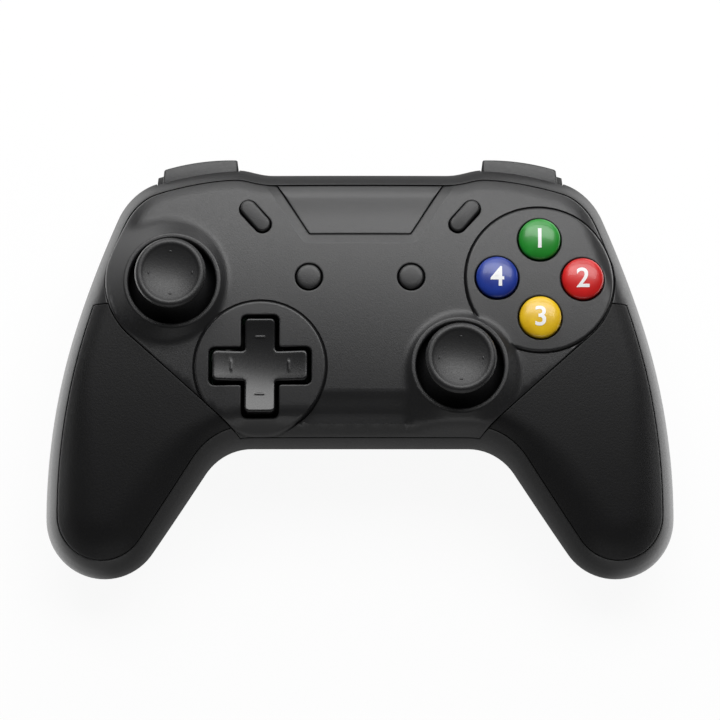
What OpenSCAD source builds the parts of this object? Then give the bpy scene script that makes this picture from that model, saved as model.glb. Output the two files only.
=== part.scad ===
// Two-stick wireless gamepad with a D-pad, four face buttons, bumpers and triggers.
// It lies on its back: X runs left to right, Y from the handle tips to the shoulders, Z out of the face.

/* [Body outline] */
// Width across the two handles
body_w = 155; // [152:0.5:160]
// Distance from the middle down to the handle tips
handle_reach = 51.9; // [51:0.1:54]
// Radius of a handle's round tip
handle_tip_r = 14.3; // [13.5:0.1:15]
// Lean of the handles' inner sides, in degrees
handle_lean = 34.3; // [32:0.1:37]
// Distance from the middle down to the chin between the handles
chin_y = 20.2; // [20:0.1:22]
// Radius of the inner corner between handle and chin
chin_fillet_r = 13.6; // [11:0.1:15]
// Distance from the middle up to the top edge
top_y = 47.6; // [47.4:0.1:48.5]
// Half length of the straight stretch of the top edge
top_flat = 21.5; // [19:0.5:23]
// Rise of the shoulders over the top edge
shoulder_rise = 0.9; // [0.5:0.1:1.4]
// Inner end of a shoulder, from the middle
shoulder_in_x = 30.3; // [29.5:0.1:31]
// Outer end of a shoulder, from the middle
shoulder_out_x = 51; // [50.5:0.1:53]
// Fall of a shoulder towards its outer end
shoulder_drop = 3.6; // [2.8:0.1:3.8]
// Where a side starts below the shoulder corner, from the middle
side_x = 60.2; // [59.8:0.1:62]
// Height at which a side starts
side_y = 36.5; // [36:0.1:38]
// Lean of a side at its top, in degrees
side_lean = 22.7; // [20:0.1:25]

/* [Body depth] */
// Height of the face's crown over the surface that the pad lies on
face_z = 38; // [37.8:0.1:40]
// Radius of the face's crown along Y
crown_ry = 210; // [190:5:260]
// Radius of the face's crown along X
crown_rx = 600; // [550:10:800]
// Height of the widest line at the top edge
top_edge_z = 23; // [22.5:0.1:24]
// Height of the widest line at the handle tips
tip_edge_z = 14; // [13:0.1:15]
// Width of the rounding round the face
front_round = 8; // [7:0.1:9]
// Width of the rounding on the handles
handle_round = 13; // [11:0.1:14]
// Width of the rounding on the back
rear_round = 17; // [15:0.5:18]
// Height of the back between its bulges
rear_z = 8.5; // [8:0.1:9]
// How far the battery bulge and the handle bulges swell past the resting surface before it cuts them flat
rest_swell = 0.5; // [0.3:0.1:0.8]
// Wall of the shells
wall = 2.2; // [1.8:0.1:2.4]
// Gap along the seams between the shells
seam_gap = 0.3; // [0.2:0.05:0.4]

/* [Face layout] */
// Left stick, from the middle
left_stick_x = 45.9; // [45:0.1:46.5]
// Height of the left stick
left_stick_y = 18; // [17:0.1:19]
// D-pad and right stick, from the middle
lower_x = 24.35; // [23.8:0.05:25]
// Height of the D-pad and the right stick
lower_y = -3; // [-3.4:0.1:-2.4]
// Middle of the face buttons, from the middle
cluster_x = 44; // [43.5:0.1:44.5]
// Height of the middle of the face buttons
cluster_y = 18.9; // [18.4:0.1:19.4]
// Half the distance between the left and right face buttons
button_dx = 10.5; // [10.2:0.1:10.8]
// Half the distance between the upper and lower face buttons
button_dy = 9.8; // [9.4:0.1:10.2]
// Round menu buttons, from the middle
menu_x = 12.5; // [12:0.1:13]
// Height of the round menu buttons
menu_y = 19.1; // [18.5:0.1:20]
// Slanted buttons, from the middle
slant_x = 25.7; // [25.2:0.1:26]
// Height of the slanted buttons
slant_y = 34.7; // [34.2:0.1:35]
// Slant of the slanted buttons, in degrees
slant_angle = 49; // [44:1:54]

/* [Sticks] */
// Radius of the hole in a stick's collar
stick_hole_r = 10.75; // [10.6:0.05:11]
// Radius of a collar's foot
collar_r = 14.7; // [14:0.1:15]
// Height of a collar's rim
collar_z = 38.6; // [38.4:0.1:39]
// Radius of a thumb cap
cap_r = 8.65; // [8:0.05:9]
// Height of a thumb cap over its pivot
cap_h = 21.15; // [20.8:0.05:22]
// Radius of the dome under a thumb cap
dome_r = 11.8; // [11.6:0.05:11.9]
// Wall of the dome
dome_wall = 1.3; // [1:0.1:1.4]
// Radius of a stick's shaft
shaft_r = 1.6; // [1.4:0.05:1.7]

/* [Buttons] */
// Radius of a face button
button_r = 5.1; // [4.9:0.05:5.3]
// How far a face button stands over the face
button_rise = 2.9; // [2.4:0.1:3.2]
// Radius of a round menu button
menu_r = 3.05; // [2.8:0.05:3.2]
// Width of a slanted button
slant_w = 3.9; // [3.6:0.1:4.2]
// Length of a slanted button
slant_len = 9.2; // [8.6:0.1:9.6]
// How far the small buttons stand over the face
small_rise = 0.8; // [0.5:0.1:1.1]
// Gap round a button in its hole
button_gap = 0.3; // [0.25:0.05:0.35]
// Length of the D-pad's arms from end to end
dpad_len = 22.6; // [22:0.1:23]
// Width of the D-pad's arms
dpad_w = 7.2; // [6.8:0.1:7.4]
// Gap round the D-pad's cross
dpad_gap = 1; // [0.9:0.05:1.1]
// Radius of the raised disc round the D-pad
dpad_disc_r = 16; // [15.7:0.1:16.2]
// How far the raised discs stand over the face
disc_rise = 0.6; // [0.4:0.05:0.8]

/* [Shoulders] */
// Radius of a bumper's curved front
bumper_r = 56; // [55.8:0.1:57]
// Length of a bumper
bumper_len = 18.2; // [17.5:0.1:18.6]
// Lower and upper height of a bumper
bumper_z0 = 19; // [18.9:0.1:19.3]
bumper_z1 = 29.2; // [28.8:0.1:29.4]
// Width of a trigger
trigger_w = 17; // [16:0.1:17.2]
// Inner side of a trigger, from the middle
trigger_x = 29; // [28.9:0.1:29.4]
// Radius of a trigger's finger curve
trigger_r = 10; // [9.8:0.05:10.2]
// Radius of the trigger and bumper pins
pin_r = 1; // [0.9:0.05:1.1]
// Running clearance round pins and shafts
fit_gap = 0.05; // [0.03:0.01:0.08]

/* [Inside] */
// Height of the circuit board's upper side
board_z = 21.5; // [21.3:0.1:21.7]
// Thickness of the circuit board
board_t = 1.6; // [1.2:0.1:1.8]
// Radius of a rumble motor
motor_r = 6.2; // [5.8:0.1:6.4]
// Radius of a rumble motor's swinging weight
weight_r = 8.6; // [8:0.1:9]
// Length, width and depth of the battery
battery_len = 34; // [30:0.5:35]
battery_w = 23; // [20:0.5:23.5]
battery_h = 7; // [5:0.5:9]

/* [Hidden] */
$fn = 48;

// Colours
body_black = "#2b2b2d";
trim_black = "#1d1d1f";
steel = "#b8babd";
board_green = "#1f5136";
rubber_grey = "#8a8c8e";

// Curves and blends
function lerp(a, b, t) = a + (b - a) * t;
function smooth(a, b, v) = let (u = max(0, min(1, (v - a) / (b - a)))) u * u * (3 - 2 * u);
function bezier(p, t) =
    pow(1 - t, 3) * p[0] + 3 * pow(1 - t, 2) * t * p[1] + 3 * (1 - t) * t * t * p[2] + pow(t, 3) * p[3];
function run(p, n) = [for (i = [1:n]) bezier(p, i / n)];
function at_angle(r, a) = r * [cos(a), sin(a)];
function arc(c, r, a0, a1, n) = [for (i = [0:n]) c + at_angle(r, lerp(a0, a1, i / n))];
function tail(list) = [for (i = [1:len(list) - 1]) list[i]];
function reversed(list) = [for (i = [len(list) - 1:-1:0]) list[i]];
function flipped(list) = [for (p = list) [-p.x, p.y]];

// Outline of the body, seen from the front, as two runs from the tip of the right handle:
// up its outer side to the middle of the top edge, and up its inner side to the middle of the chin
half_w = body_w / 2;
shoulder_y = top_y + shoulder_rise;
tip_c = [half_w - handle_tip_r, handle_tip_r - handle_reach];
tip_pole = (handle_lean - 180) / 2;
lean_dir = [-sin(handle_lean), cos(handle_lean)];
side_top = [side_x, side_y];
side_dir = [-sin(side_lean), cos(side_lean)];
shoulder_end = [shoulder_out_x, shoulder_y - shoulder_drop];
shoulder_dir = at_angle(1, 162.5);
side_curve = [[half_w, tip_c.y], [half_w, tip_c.y + 22.6], side_top - 30.3 * side_dir, side_top];
corner_curve = [side_top, side_top + 5 * side_dir, shoulder_end - 3.5 * shoulder_dir, shoulder_end];
shoulder_curve = [
    shoulder_end, shoulder_end + 7 * shoulder_dir, [shoulder_in_x + 6, shoulder_y], [shoulder_in_x, shoulder_y]
];
swoop_curve = [
    [shoulder_in_x, shoulder_y], [shoulder_in_x - 2.8, shoulder_y], [top_flat + 3.5, top_y], [top_flat, top_y]
];
outer_run = concat(
    arc(tip_c, handle_tip_r, tip_pole, 0, 6),
    run(side_curve, 7),
    run(corner_curve, 3),
    run(shoulder_curve, 3),
    run(swoop_curve, 3),
    [for (i = [1:2]) [top_flat * (1 - i / 2), top_y]]
);
inner_start = tip_c + at_angle(handle_tip_r, 2 * tip_pole);
chin_corner = inner_start + lean_dir * ((-chin_y - inner_start.y) / cos(handle_lean));
chin_tangent = chin_fillet_r * tan((90 - handle_lean) / 2);
chin_fillet_c = [chin_corner.x - chin_tangent, -chin_y - chin_fillet_r];
inner_run = concat(
    arc(tip_c, handle_tip_r, tip_pole, 2 * tip_pole, 6),
    [for (i = [1:3]) lerp(inner_start, chin_corner - lean_dir * chin_tangent, i / 3)],
    tail(arc(chin_fillet_c, chin_fillet_r, handle_lean, 90, 4)),
    [for (i = [1:11]) [chin_fillet_c.x * (1 - i / 11), -chin_y]]
);
rungs = len(outer_run) - 1;
half_outline = concat(reversed(outer_run), tail(inner_run));
outline = concat(half_outline, reversed(flipped(half_outline)));

// The outline moved inwards by t
function along(path, i) =
    let (a = i == 0 ? [-path[1].x, path[1].y] : path[i - 1])
    let (b = i == len(path) - 1 ? [-path[i - 1].x, path[i - 1].y] : path[i + 1])
    (b - a) / norm(b - a);
function inset(path, t) =
    [for (i = [0:len(path) - 1]) let (d = along(path, i)) path[i] + t * [d.y, -d.x]];
function to_segment(p, a, b) =
    let (u = b - a, l = u * u, s = l < 1e-9 ? 0 : max(0, min(1, (p - a) * u / l))) norm(p - a - s * u);
function to_path(p, path) = min([for (i = [0:len(path) - 2]) to_segment(p, path[i], path[i + 1])]);

// Heights of the body: the crowned face, the widest line and the back with its battery and handle bulges
crown_mid_y = 12;
belly_y = 14;
belly_rx = 34;
belly_ry = 30;
function crown_at(p) = face_z - pow(p.y - crown_mid_y, 2) / (2 * crown_ry) - p.x * p.x / (2 * crown_rx);
function edge_at(p) = lerp(tip_edge_z, top_edge_z, smooth(-handle_reach, 8, p.y));
function in_handle(p) = smooth(26, 50, abs(p.x)) * (1 - smooth(-14, 20, p.y));
function in_belly(p) = 1 - smooth(0.55, 1, norm([p.x / belly_rx, (p.y - belly_y) / belly_ry]));
function back_at(p) = rear_z - (rear_z + rest_swell) * max(in_belly(p), in_handle(p));
function bow(u) = pow(1 - pow(1 - min(1, u), 2.2), 1 / 2.2);
function front_w(p) = lerp(front_round, handle_round, smooth(34, 52, abs(p.x)) * smooth(0, 30, -p.y));
function front_height(p, d, t) = edge_at(p) + (crown_at(p) - t - edge_at(p)) * bow(d / front_w(p));
function rear_height(p, d, t) = edge_at(p) - (edge_at(p) - back_at(p) - t) * bow(d / rear_round);
function face_at(p) = front_height(p, to_path([abs(p.x), p.y], half_outline), 0);
function floor_at(p) = rear_height(p, to_path([abs(p.x), p.y], half_outline), 0);

// The body as a loft: one closed section across each rung that joins the outer run to the inner run
fine_ends = [0, 0.5, 1.6, 3.4, 5.6, 8.4];
coarse_ends = [0, 1.2, 4, 9];
mid_stops = 5;
function rung_stops(l, ends) =
    let (e = ends * min(1, l / 24), last = e[len(e) - 1])
    concat(
        e,
        [for (i = [1:mid_stops]) lerp(last, l - last, i / (mid_stops + 1))],
        [for (i = [len(e) - 1:-1:0]) l - e[i]]
    );
function section(path, j, t, ends) =
    let (a = path[rungs - j], b = path[rungs + j], l = norm(b - a), u = (b - a) / l)
    let (ps = [for (s = rung_stops(l, ends)) a + u * s], n = len(ps))
    let (ds = [for (p = ps) to_path(p, path)])
    concat(
        [for (i = [0:n - 1]) [ps[i].x, ps[i].y, front_height(ps[i], ds[i], t)]],
        [for (i = [n - 2:-1:1]) [ps[i].x, ps[i].y, rear_height(ps[i], ds[i], t)]]
    );
function mirrored_section(s) = [for (p = s) [-p.x, p.y, p.z]];
module body_solid(t, step = 1, ends = fine_ends) {
    path = inset(half_outline, t);
    right = [for (j = [step:step:rungs]) section(path, j, t, ends)];
    loops = concat(right, [for (i = [len(right) - 2:-1:0]) mirrored_section(right[i])]);
    n = len(loops[0]);
    m = len(loops);
    pole = path[rungs];
    ends_3d = [[pole.x, pole.y, edge_at(pole)], [-pole.x, pole.y, edge_at(pole)]];
    points = concat([for (l = loops) each l], ends_3d);
    sides = [
        for (j = [0:m - 2], i = [0:n - 1])
            let (k = (i + 1) % n, a = j * n + i, b = j * n + k, c = (j + 1) * n + k, d = (j + 1) * n + i)
                each [[a, b, c], [a, c, d]]
    ];
    caps = [
        for (i = [0:n - 1])
            let (k = (i + 1) % n) each [[m * n, k, i], [m * n + 1, (m - 1) * n + i, (m - 1) * n + k]]
    ];
    polyhedron(points, concat(sides, caps));
}
module coarse_body(t) body_solid(t, 2, coarse_ends);
module skin(t = 0) {
    difference() {
        body_solid(t);
        coarse_body(wall);
    }
}

// Everything in front of the body's widest line
module front_zone() {
    reach = 70;
    line = [for (y = [-reach:5:reach]) [y, edge_at([0, y])]];
    rotate([90, 0, 90])
        linear_extrude(2 * body_w, center = true)
            polygon(concat(line, [[reach, reach], [-reach, reach]]));
}
module prism() {
    linear_extrude(70) children();
}
module both_sides() {
    children();
    mirror([1, 0, 0]) children();
}
module left_side() {
    mirror([1, 0, 0]) children();
}

// Seams seen from the front: the face plate, the grips beside it and the rim of the rear shell round them
plate_r = 18.5;
plate_chin_x = 28.1;
plate_chin_inset = 1.2;
plate_top_inset = 4.7;
plate_side_inset = 2.4;
grip_inset = 3.4;
grip_top_y = 13;
module plate_2d() {
    intersection() {
        offset(delta = -plate_chin_inset) polygon(outline);
        translate([0, plate_side_inset - plate_top_inset]) offset(delta = -plate_side_inset) polygon(outline);
        hull() {
            both_sides() {
                translate([cluster_x, cluster_y]) circle(plate_r, $fn = 36);
                translate([plate_chin_x, -chin_y]) circle(0.1);
                translate([side_x - 4, top_y]) circle(0.1);
            }
        }
    }
}
module grip_2d() {
    difference() {
        intersection() {
            offset(delta = -grip_inset) polygon(outline);
            translate([seam_gap, grip_top_y - 2 * body_w]) square(2 * body_w);
        }
        offset(delta = seam_gap) plate_2d();
    }
}

// Rounded and capsule outlines with true arcs
module rounded(w, h, r) {
    square([w - 2 * r, h], center = true);
    square([w, h - 2 * r], center = true);
    for (x = [-1, 1], y = [-1, 1]) translate([x * (w / 2 - r), y * (h / 2 - r)]) circle(r);
}
module capsule(len, w) {
    square([len - w, w], center = true);
    for (x = [-1, 1]) translate([x * (len - w) / 2, 0]) circle(w / 2);
}
module cross(len, w, r) {
    rounded(len, w, r);
    rounded(w, len, r);
}

// Places on the face
left_stick = [-left_stick_x, left_stick_y];
right_stick = [lower_x, lower_y];
dpad_c = [-lower_x, lower_y];
north = [cluster_x, cluster_y + button_dy];
south = [cluster_x, cluster_y - button_dy];
east = [cluster_x + button_dx, cluster_y];
west = [cluster_x - button_dx, cluster_y];
face_buttons = [north, south, east, west];

// Centre panel below the top edge: a slanted frame with an inset panel
panel_top_x = 21.4;
panel_low_x = 12.4;
panel_top_in = 3.1;
panel_top_y = top_y - panel_top_in;
panel_low_y = 30.2;
panel_frame = 2;
panel_sink = 0.9;
frame_sink = 0.45;
module panel_2d(grow) {
    hull() {
        for (s = [-1, 1]) {
            translate([s * panel_top_x, panel_top_y]) circle(max(0.1, grow + 0.1));
            translate([s * panel_low_x, panel_low_y]) circle(max(0.1, grow + 0.1));
        }
    }
}

// Case screws: a well in the rear shell, a post under the front and a pilot hole in it
screw_r = 1.05;
screw_head_r = 2.5;
screw_head_h = 1.8;
screw_len = 8;
screw_pilot_gap = 0.15;
well_r = 2.8;
post_r = 4;
boss_r = 2.6;
well_depth = 3.2;
lowest_seat_z = 8;
post_over_seat = 3;
handle_screw_in = 0.2;
handle_screw_low = 3.4;
handle_screw = [tip_c.x - handle_screw_in, tip_c.y - handle_screw_low];
mid_screw = [22.5, 22];
chin_screw = [0, -11.5];
plate_screws = [mid_screw, [-mid_screw.x, mid_screw.y], chin_screw];
case_screw_places = concat(plate_screws, [handle_screw, [-handle_screw.x, handle_screw.y]]);
function seat_z(p) = max(lowest_seat_z, floor_at(p) + well_depth);
function post_top(p) = seat_z(p) + post_over_seat;

// A post that hangs from a front shell down to the rear shell's post
module hanging_boss(p) {
    difference() {
        translate([p.x, p.y, post_top(p)])
            cylinder(r = boss_r, h = face_at(p) - wall / 2 - post_top(p), $fn = 20);
        translate([p.x, p.y, 0]) cylinder(r = screw_r + screw_pilot_gap, h = seat_z(p) + screw_len + 1, $fn = 16);
    }
}

// Face plate
dpad_opening = dpad_len + 2.8;
collar_top_r = stick_hole_r + 1;
collar_rise = 2.4;
collar_deep = 8;
roll_y = -8.5;
shelf_y = -14.7;
shelf_z = 33.9;
shelf_slope = 11;
roll_steps = 6;
function shelf_at(y) = shelf_z + (y - shelf_y) * tan(shelf_slope);
function roll_at(y) = lerp(crown_at([0, y]), shelf_at(y), smooth(roll_y, shelf_y, y));
module collar(p) {
    slope = (collar_r - collar_top_r) / collar_rise;
    translate([p.x, p.y, collar_z - collar_deep])
        cylinder(r1 = collar_top_r + slope * collar_deep, r2 = collar_top_r, h = collar_deep);
}
module raised_discs() {
    translate([dpad_c.x, dpad_c.y, 0]) cylinder(r = dpad_disc_r, h = 60, $fn = 40);
    translate([cluster_x, cluster_y, 0]) cylinder(r = plate_r, h = 60, $fn = 36);
}
module slant_hole() {
    translate([slant_x, slant_y])
        rotate(slant_angle)
            hull()
                for (x = [-1, 1])
                    translate([x * (slant_len - slant_w) / 2, 0]) circle(slant_w / 2 + button_gap, $fn = 16);
}
module dpad_hole() {
    corner = 1.4;
    for (a = [0, 90])
        rotate(a)
            hull()
                for (x = [-1, 1], y = [-1, 1])
                    translate([
                        x * (dpad_opening / 2 - corner),
                        y * (dpad_w / 2 + dpad_gap - corner)
                    ]) circle(corner, $fn = 16);
}
module chin_shelf() {
    low_y = -chin_y - 10;
    rolled = [for (i = [0:roll_steps]) let (y = lerp(roll_y, shelf_y, i / roll_steps)) [y, roll_at(y)]];
    rotate([90, 0, 90])
        linear_extrude(2 * plate_chin_x, center = true)
            polygon(concat(rolled, [[low_y, shelf_at(low_y)], [low_y, 2 * face_z], [roll_y, 2 * face_z]]));
}
module front_form() {
    difference() {
        body_solid(0);
        chin_shelf();
        difference() {
            prism() panel_2d(panel_frame);
            body_solid(frame_sink);
        }
    }
    intersection() {
        body_solid(-disc_rise);
        raised_discs();
    }
    collar(left_stick);
    collar(right_stick);
}
module front_shell() {
    color(body_black)
        difference() {
            union() {
                intersection() {
                    difference() {
                        front_form();
                        coarse_body(wall);
                    }
                    front_zone();
                    prism() plate_2d();
                }
                for (p = plate_screws) hanging_boss(p);
            }
            for (p = [left_stick, right_stick]) translate([p.x, p.y, 0]) cylinder(r = stick_hole_r, h = 60);
            for (p = face_buttons) translate([p.x, p.y, 0]) cylinder(r = button_r + button_gap, h = 60, $fn = 32);
            both_sides() {
                translate([menu_x, menu_y, 0]) cylinder(r = menu_r + button_gap, h = 60, $fn = 24);
                prism() slant_hole();
            }
            translate([dpad_c.x, dpad_c.y, 0]) prism() dpad_hole();
            prism() panel_2d(0);
        }
}

// Centre panel, with a flange that seats under the face plate
panel_gap = 0.15;
panel_flange = 1;
module center_panel() {
    color(body_black)
        intersection() {
            union() {
                difference() {
                    intersection() {
                        body_solid(panel_sink);
                        prism() offset(delta = -panel_gap) panel_2d(0);
                    }
                    coarse_body(wall + panel_flange);
                }
                difference() {
                    intersection() {
                        coarse_body(wall + panel_gap);
                        prism() panel_2d(panel_flange);
                    }
                    coarse_body(wall + panel_gap + panel_flange);
                }
            }
            front_zone();
            prism() offset(delta = -panel_gap) plate_2d();
        }
}

// Grips, with stiffening ribs across their inner side
rib_t = 1;
rib_h = 1.4;
rib_pitch = 8;
rib_count = 7;
module grip_ribs() {
    intersection() {
        difference() {
            coarse_body(wall * 0.6);
            coarse_body(wall + rib_h);
        }
        front_zone();
        prism() offset(delta = -rib_t) grip_2d();
        prism()
            for (i = [0:rib_count - 1])
                translate([tip_c.x, tip_c.y - 8 + i * rib_pitch])
                    rotate(handle_lean / 2)
                        hull() for (x = [-half_w, half_w]) translate([x, 0]) circle(rib_t / 2, $fn = 8);
    }
}
module right_grip() {
    color(trim_black) {
        intersection() {
            skin();
            front_zone();
            prism() grip_2d();
        }
        grip_ribs();
        hanging_boss(handle_screw);
    }
}
module left_grip() {
    left_side() right_grip();
}

// Rear shell
board_under = board_z - board_t;
board_screw_r = 0.9;
board_screw_head_r = 1.8;
board_screw_head_h = 1.1;
board_screw_len = 6;
board_post_r = 2.4;
board_screws = [[30, 30.5], [9, 1], [-30, 30.5], [-9, 1]];
motor_in = 5.2;
motor_x = tip_c.x - motor_in;
motor_z = 14;
motor_over_tip = 13.6;
motor_front_y = tip_c.y + motor_over_tip;
motor_len = 14;
motor_seat_gap = 0.1;
cradle_t = 2;
cradle_w = 16;
battery_y = 17;
battery_z = 4.3;
battery_corner = 2;
usb_w = 8.94;
usb_h = 3.26;
usb_len = 7.2;
usb_z = board_z + usb_h / 2;
usb_gap = 0.4;
trigger_gap = 0.6;
trigger_pivot_in = 10;
trigger_pivot_z = 16.5;
trigger_pivot = [shoulder_y - trigger_pivot_in, trigger_pivot_z];
trigger_open_in = 3.9;
trigger_open_y = trigger_pivot.x - trigger_open_in;
trigger_well_t = 1.4;
trigger_well_gap = 0.4;
trigger_top_z = 18.3;
bumper_gap = 0.5;
bumper_end_gap = 2;
module post(p, r, top) {
    translate([p.x, p.y, floor_at(p) + wall / 3]) cylinder(r = r, h = top - floor_at(p) - wall / 3, $fn = 16);
}
module motor_cradle() {
    difference() {
        for (y = [motor_front_y + 2, motor_front_y + motor_len - 2 - cradle_t])
            translate([motor_x - cradle_w / 2, y, 0]) cube([cradle_w, cradle_t, motor_z]);
        translate([motor_x, motor_front_y - 1, motor_z])
            rotate([-90, 0, 0]) cylinder(r = motor_r + motor_seat_gap, h = motor_len + 2, $fn = 32);
    }
}
module battery_ribs() {
    for (y = [-1, 1])
        translate([0, battery_y + y * battery_w / 4, 0]) linear_extrude(battery_z) capsule(battery_len - 4, rib_t * 2);
}
module trigger_well() {
    translate([trigger_x - trigger_gap - trigger_well_t, trigger_open_y - trigger_well_t, 0])
        cube([trigger_w + 2 * (trigger_gap + trigger_well_t), trigger_well_t, board_under - trigger_well_gap]);
}
module trigger_opening() {
    translate([trigger_x - trigger_gap, trigger_open_y, -1])
        cube([trigger_w + 2 * trigger_gap, 40, trigger_top_z + trigger_gap + 1]);
}
module bumper_opening() {
    translate([0, 0, bumper_z0 - bumper_gap])
        linear_extrude(bumper_z1 - bumper_z0 + 2 * bumper_gap)
            hull() {
                translate([bumper_x0 - bumper_gap, bumper_in_y - 1]) square([1, 20]);
                translate([bumper_x0 + bumper_len + bumper_end_gap - 1, bumper_in_y - 3]) square([1, 20]);
            }
}
module usb_opening() {
    translate([0, top_y + 2, usb_z])
        rotate([90, 0, 0])
            linear_extrude(2 * wall + 2)
                hull()
                    for (x = [-1, 1])
                        translate([x * (usb_w - usb_h) / 2, 0]) circle(usb_h / 2 + usb_gap, $fn = 16);
}
module rear_shell() {
    color(trim_black)
        difference() {
            union() {
                difference() {
                    skin();
                    intersection() {
                        front_zone();
                        prism()
                            offset(delta = seam_gap) {
                                plate_2d();
                                both_sides() grip_2d();
                            }
                    }
                }
                for (p = case_screw_places) post(p, post_r, post_top(p));
                for (p = board_screws) post(p, board_post_r, board_under);
                both_sides() for (p = bracket_screws) post(p, bracket_post_r, board_under);
                intersection() {
                    coarse_body(wall / 2);
                    union() {
                        both_sides() {
                            motor_cradle();
                            trigger_well();
                        }
                        battery_ribs();
                    }
                }
            }
            for (p = case_screw_places) {
                translate([p.x, p.y, -1]) cylinder(r = well_r, h = seat_z(p) + 1, $fn = 20);
                translate([p.x, p.y, 0]) cylinder(r = screw_r + screw_pilot_gap, h = 30, $fn = 16);
            }
            for (p = board_screws)
                translate([p.x, p.y, board_under - board_screw_len])
                    cylinder(r = board_screw_r + screw_pilot_gap, h = 30, $fn = 16);
            both_sides()
                for (p = bracket_screws)
                    translate([p.x, p.y, board_under - board_screw_len])
                        cylinder(r = board_screw_r + screw_pilot_gap, h = board_screw_len + 1, $fn = 16);
            both_sides() {
                trigger_opening();
                bumper_opening();
            }
            usb_opening();
            translate([-body_w, -body_w, -20]) cube([2 * body_w, 2 * body_w, 20]);
        }
}

// Case screws, driven from behind
module pan_screw(r, head_r, head_h, len) {
    cylinder(r = r, h = len);
    translate([0, 0, -head_h])
        difference() {
            cylinder(r1 = head_r * 0.86, r2 = head_r, h = head_h);
            translate([0, 0, -1]) for (a = [0, 90]) rotate(a) translate([-head_r * 0.55, -0.3, 0])
                cube([head_r * 1.1, 0.6, 1 + head_h * 0.5]);
        }
}
module case_screws() {
    color(steel)
        for (p = case_screw_places)
            translate([p.x, p.y, seat_z(p)]) pan_screw(screw_r, screw_head_r, screw_head_h, screw_len);
}
module board_screws() {
    color(steel) {
        for (p = board_screws)
            translate([p.x, p.y, board_z])
                rotate([180, 0, 0])
                    pan_screw(board_screw_r, board_screw_head_r, board_screw_head_h, board_t + board_screw_len - 1);
        both_sides()
            for (p = bracket_screws)
                translate([p.x, p.y, board_z])
                    rotate([180, 0, 0])
                        pan_screw(board_screw_r, board_screw_head_r, board_screw_head_h, board_t + board_screw_len - 1);
    }
}

// Circuit board, with holes for its screws and notches for the case posts
board_tongue_x = 12;
board_tongue_in = 6.6;
board_tongue_y = top_y - board_tongue_in;
board_top_in = 12.2;
board_top_y = top_y - board_top_in;
board_low_y = -13.5;
board_hole_gap = 0.2;
board_boss_gap = 0.6;
board_half = [
    [0, board_tongue_y], [board_tongue_x, board_tongue_y], [board_tongue_x, board_top_y], [54.5, board_top_y],
    [59, board_top_y - 5.4], [61, board_top_y - 13.4], [61, 12], [50, -1], [38, board_low_y], [0, board_low_y]
];
board_chips = [[-4, 9, 9, 9, 1.2], [8, 31, 6, 6, 1.1], [-9, 31, 7, 5, 1], [0.5, -2, 4, 6, 1]];
module main_board() {
    color(board_green) {
        translate([0, 0, board_under])
            linear_extrude(board_t)
                difference() {
                    polygon(concat(board_half, reversed(flipped(board_half))));
                    for (p = board_screws) translate(p) circle(board_screw_r + board_hole_gap);
                    for (p = plate_screws) translate(p) circle(boss_r + board_boss_gap);
                }
        for (c = board_chips)
            translate([c[0], c[1], board_z + c[4] / 2]) cube([c[2], c[3], c[4]], center = true);
    }
}

// Socket for the charging plug, at the top edge
usb_wall = 0.3;
usb_tongue = [6.7, 4.6, 0.7];
module usb_c_port() {
    color(steel)
        translate([0, top_y - 0.4, usb_z])
            rotate([90, 0, 0]) {
                difference() {
                    linear_extrude(usb_len) capsule(usb_w, usb_h);
                    translate([0, 0, -1])
                        linear_extrude(usb_len) capsule(usb_w - 2 * usb_wall, usb_h - 2 * usb_wall);
                }
                translate([0, 0, usb_len - usb_tongue.y / 2 - 0.5])
                    cube([usb_tongue.x, usb_tongue.z, usb_tongue.y], center = true);
            }
}

// Battery, on two ribs in the bulge of the rear shell
module battery() {
    color("#3f5f8f")
        translate([0, battery_y, battery_z])
            linear_extrude(battery_h) rounded(battery_len, battery_w, battery_corner);
}

// Stick mechanism: a housing on the board, a ring that tilts in it about X, a hub that tilts in the ring about Y
pivot_h = 5.5;
pivot_z = board_z + pivot_h;
can_w = 13;
can_wall = 1;
can_floor = 0.6;
can_rise = 2.6;
ring_r = 5.1;
ring_bore_r = 3.6;
ring_h = 2;
ring_pin_r = 0.8;
hub_r = 2.9;
hub_pin_r = 0.7;
sensor_w = 6.8;
sensor_t = 3;
sensor_h = pivot_h + 0.2;
switch_h = 4;
shaft_drop = 3.7;
module stick_housing(p) {
    color(steel)
        translate([p.x, p.y, board_z]) {
            difference() {
                translate([-can_w / 2, -can_w / 2, 0]) cube([can_w, can_w, pivot_h + can_rise]);
                translate([can_wall - can_w / 2, can_wall - can_w / 2, can_floor])
                    cube([can_w - 2 * can_wall, can_w - 2 * can_wall, 20]);
                translate([0, 0, pivot_h])
                    rotate([0, 90, 0]) cylinder(r = ring_pin_r + fit_gap, h = can_w + 1, center = true);
            }
            translate([-can_w / 2 - sensor_t, -sensor_w / 2, 0]) cube([sensor_t, sensor_w, sensor_h]);
            translate([-sensor_w / 2, -can_w / 2 - sensor_t, 0]) cube([sensor_w, sensor_t, sensor_h]);
            translate([-sensor_w / 2, can_w / 2, 0]) cube([sensor_w, sensor_t, switch_h]);
        }
}
module gimbal_ring(p) {
    color(trim_black)
        translate([p.x, p.y, pivot_z])
            difference() {
                union() {
                    cylinder(r = ring_r, h = ring_h, center = true);
                    rotate([0, 90, 0]) cylinder(r = ring_pin_r, h = can_w - 0.2, center = true);
                }
                cylinder(r = ring_bore_r, h = 3 * ring_h, center = true);
                rotate([90, 0, 0]) cylinder(r = hub_pin_r + fit_gap, h = 3 * ring_r, center = true);
            }
}
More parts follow.
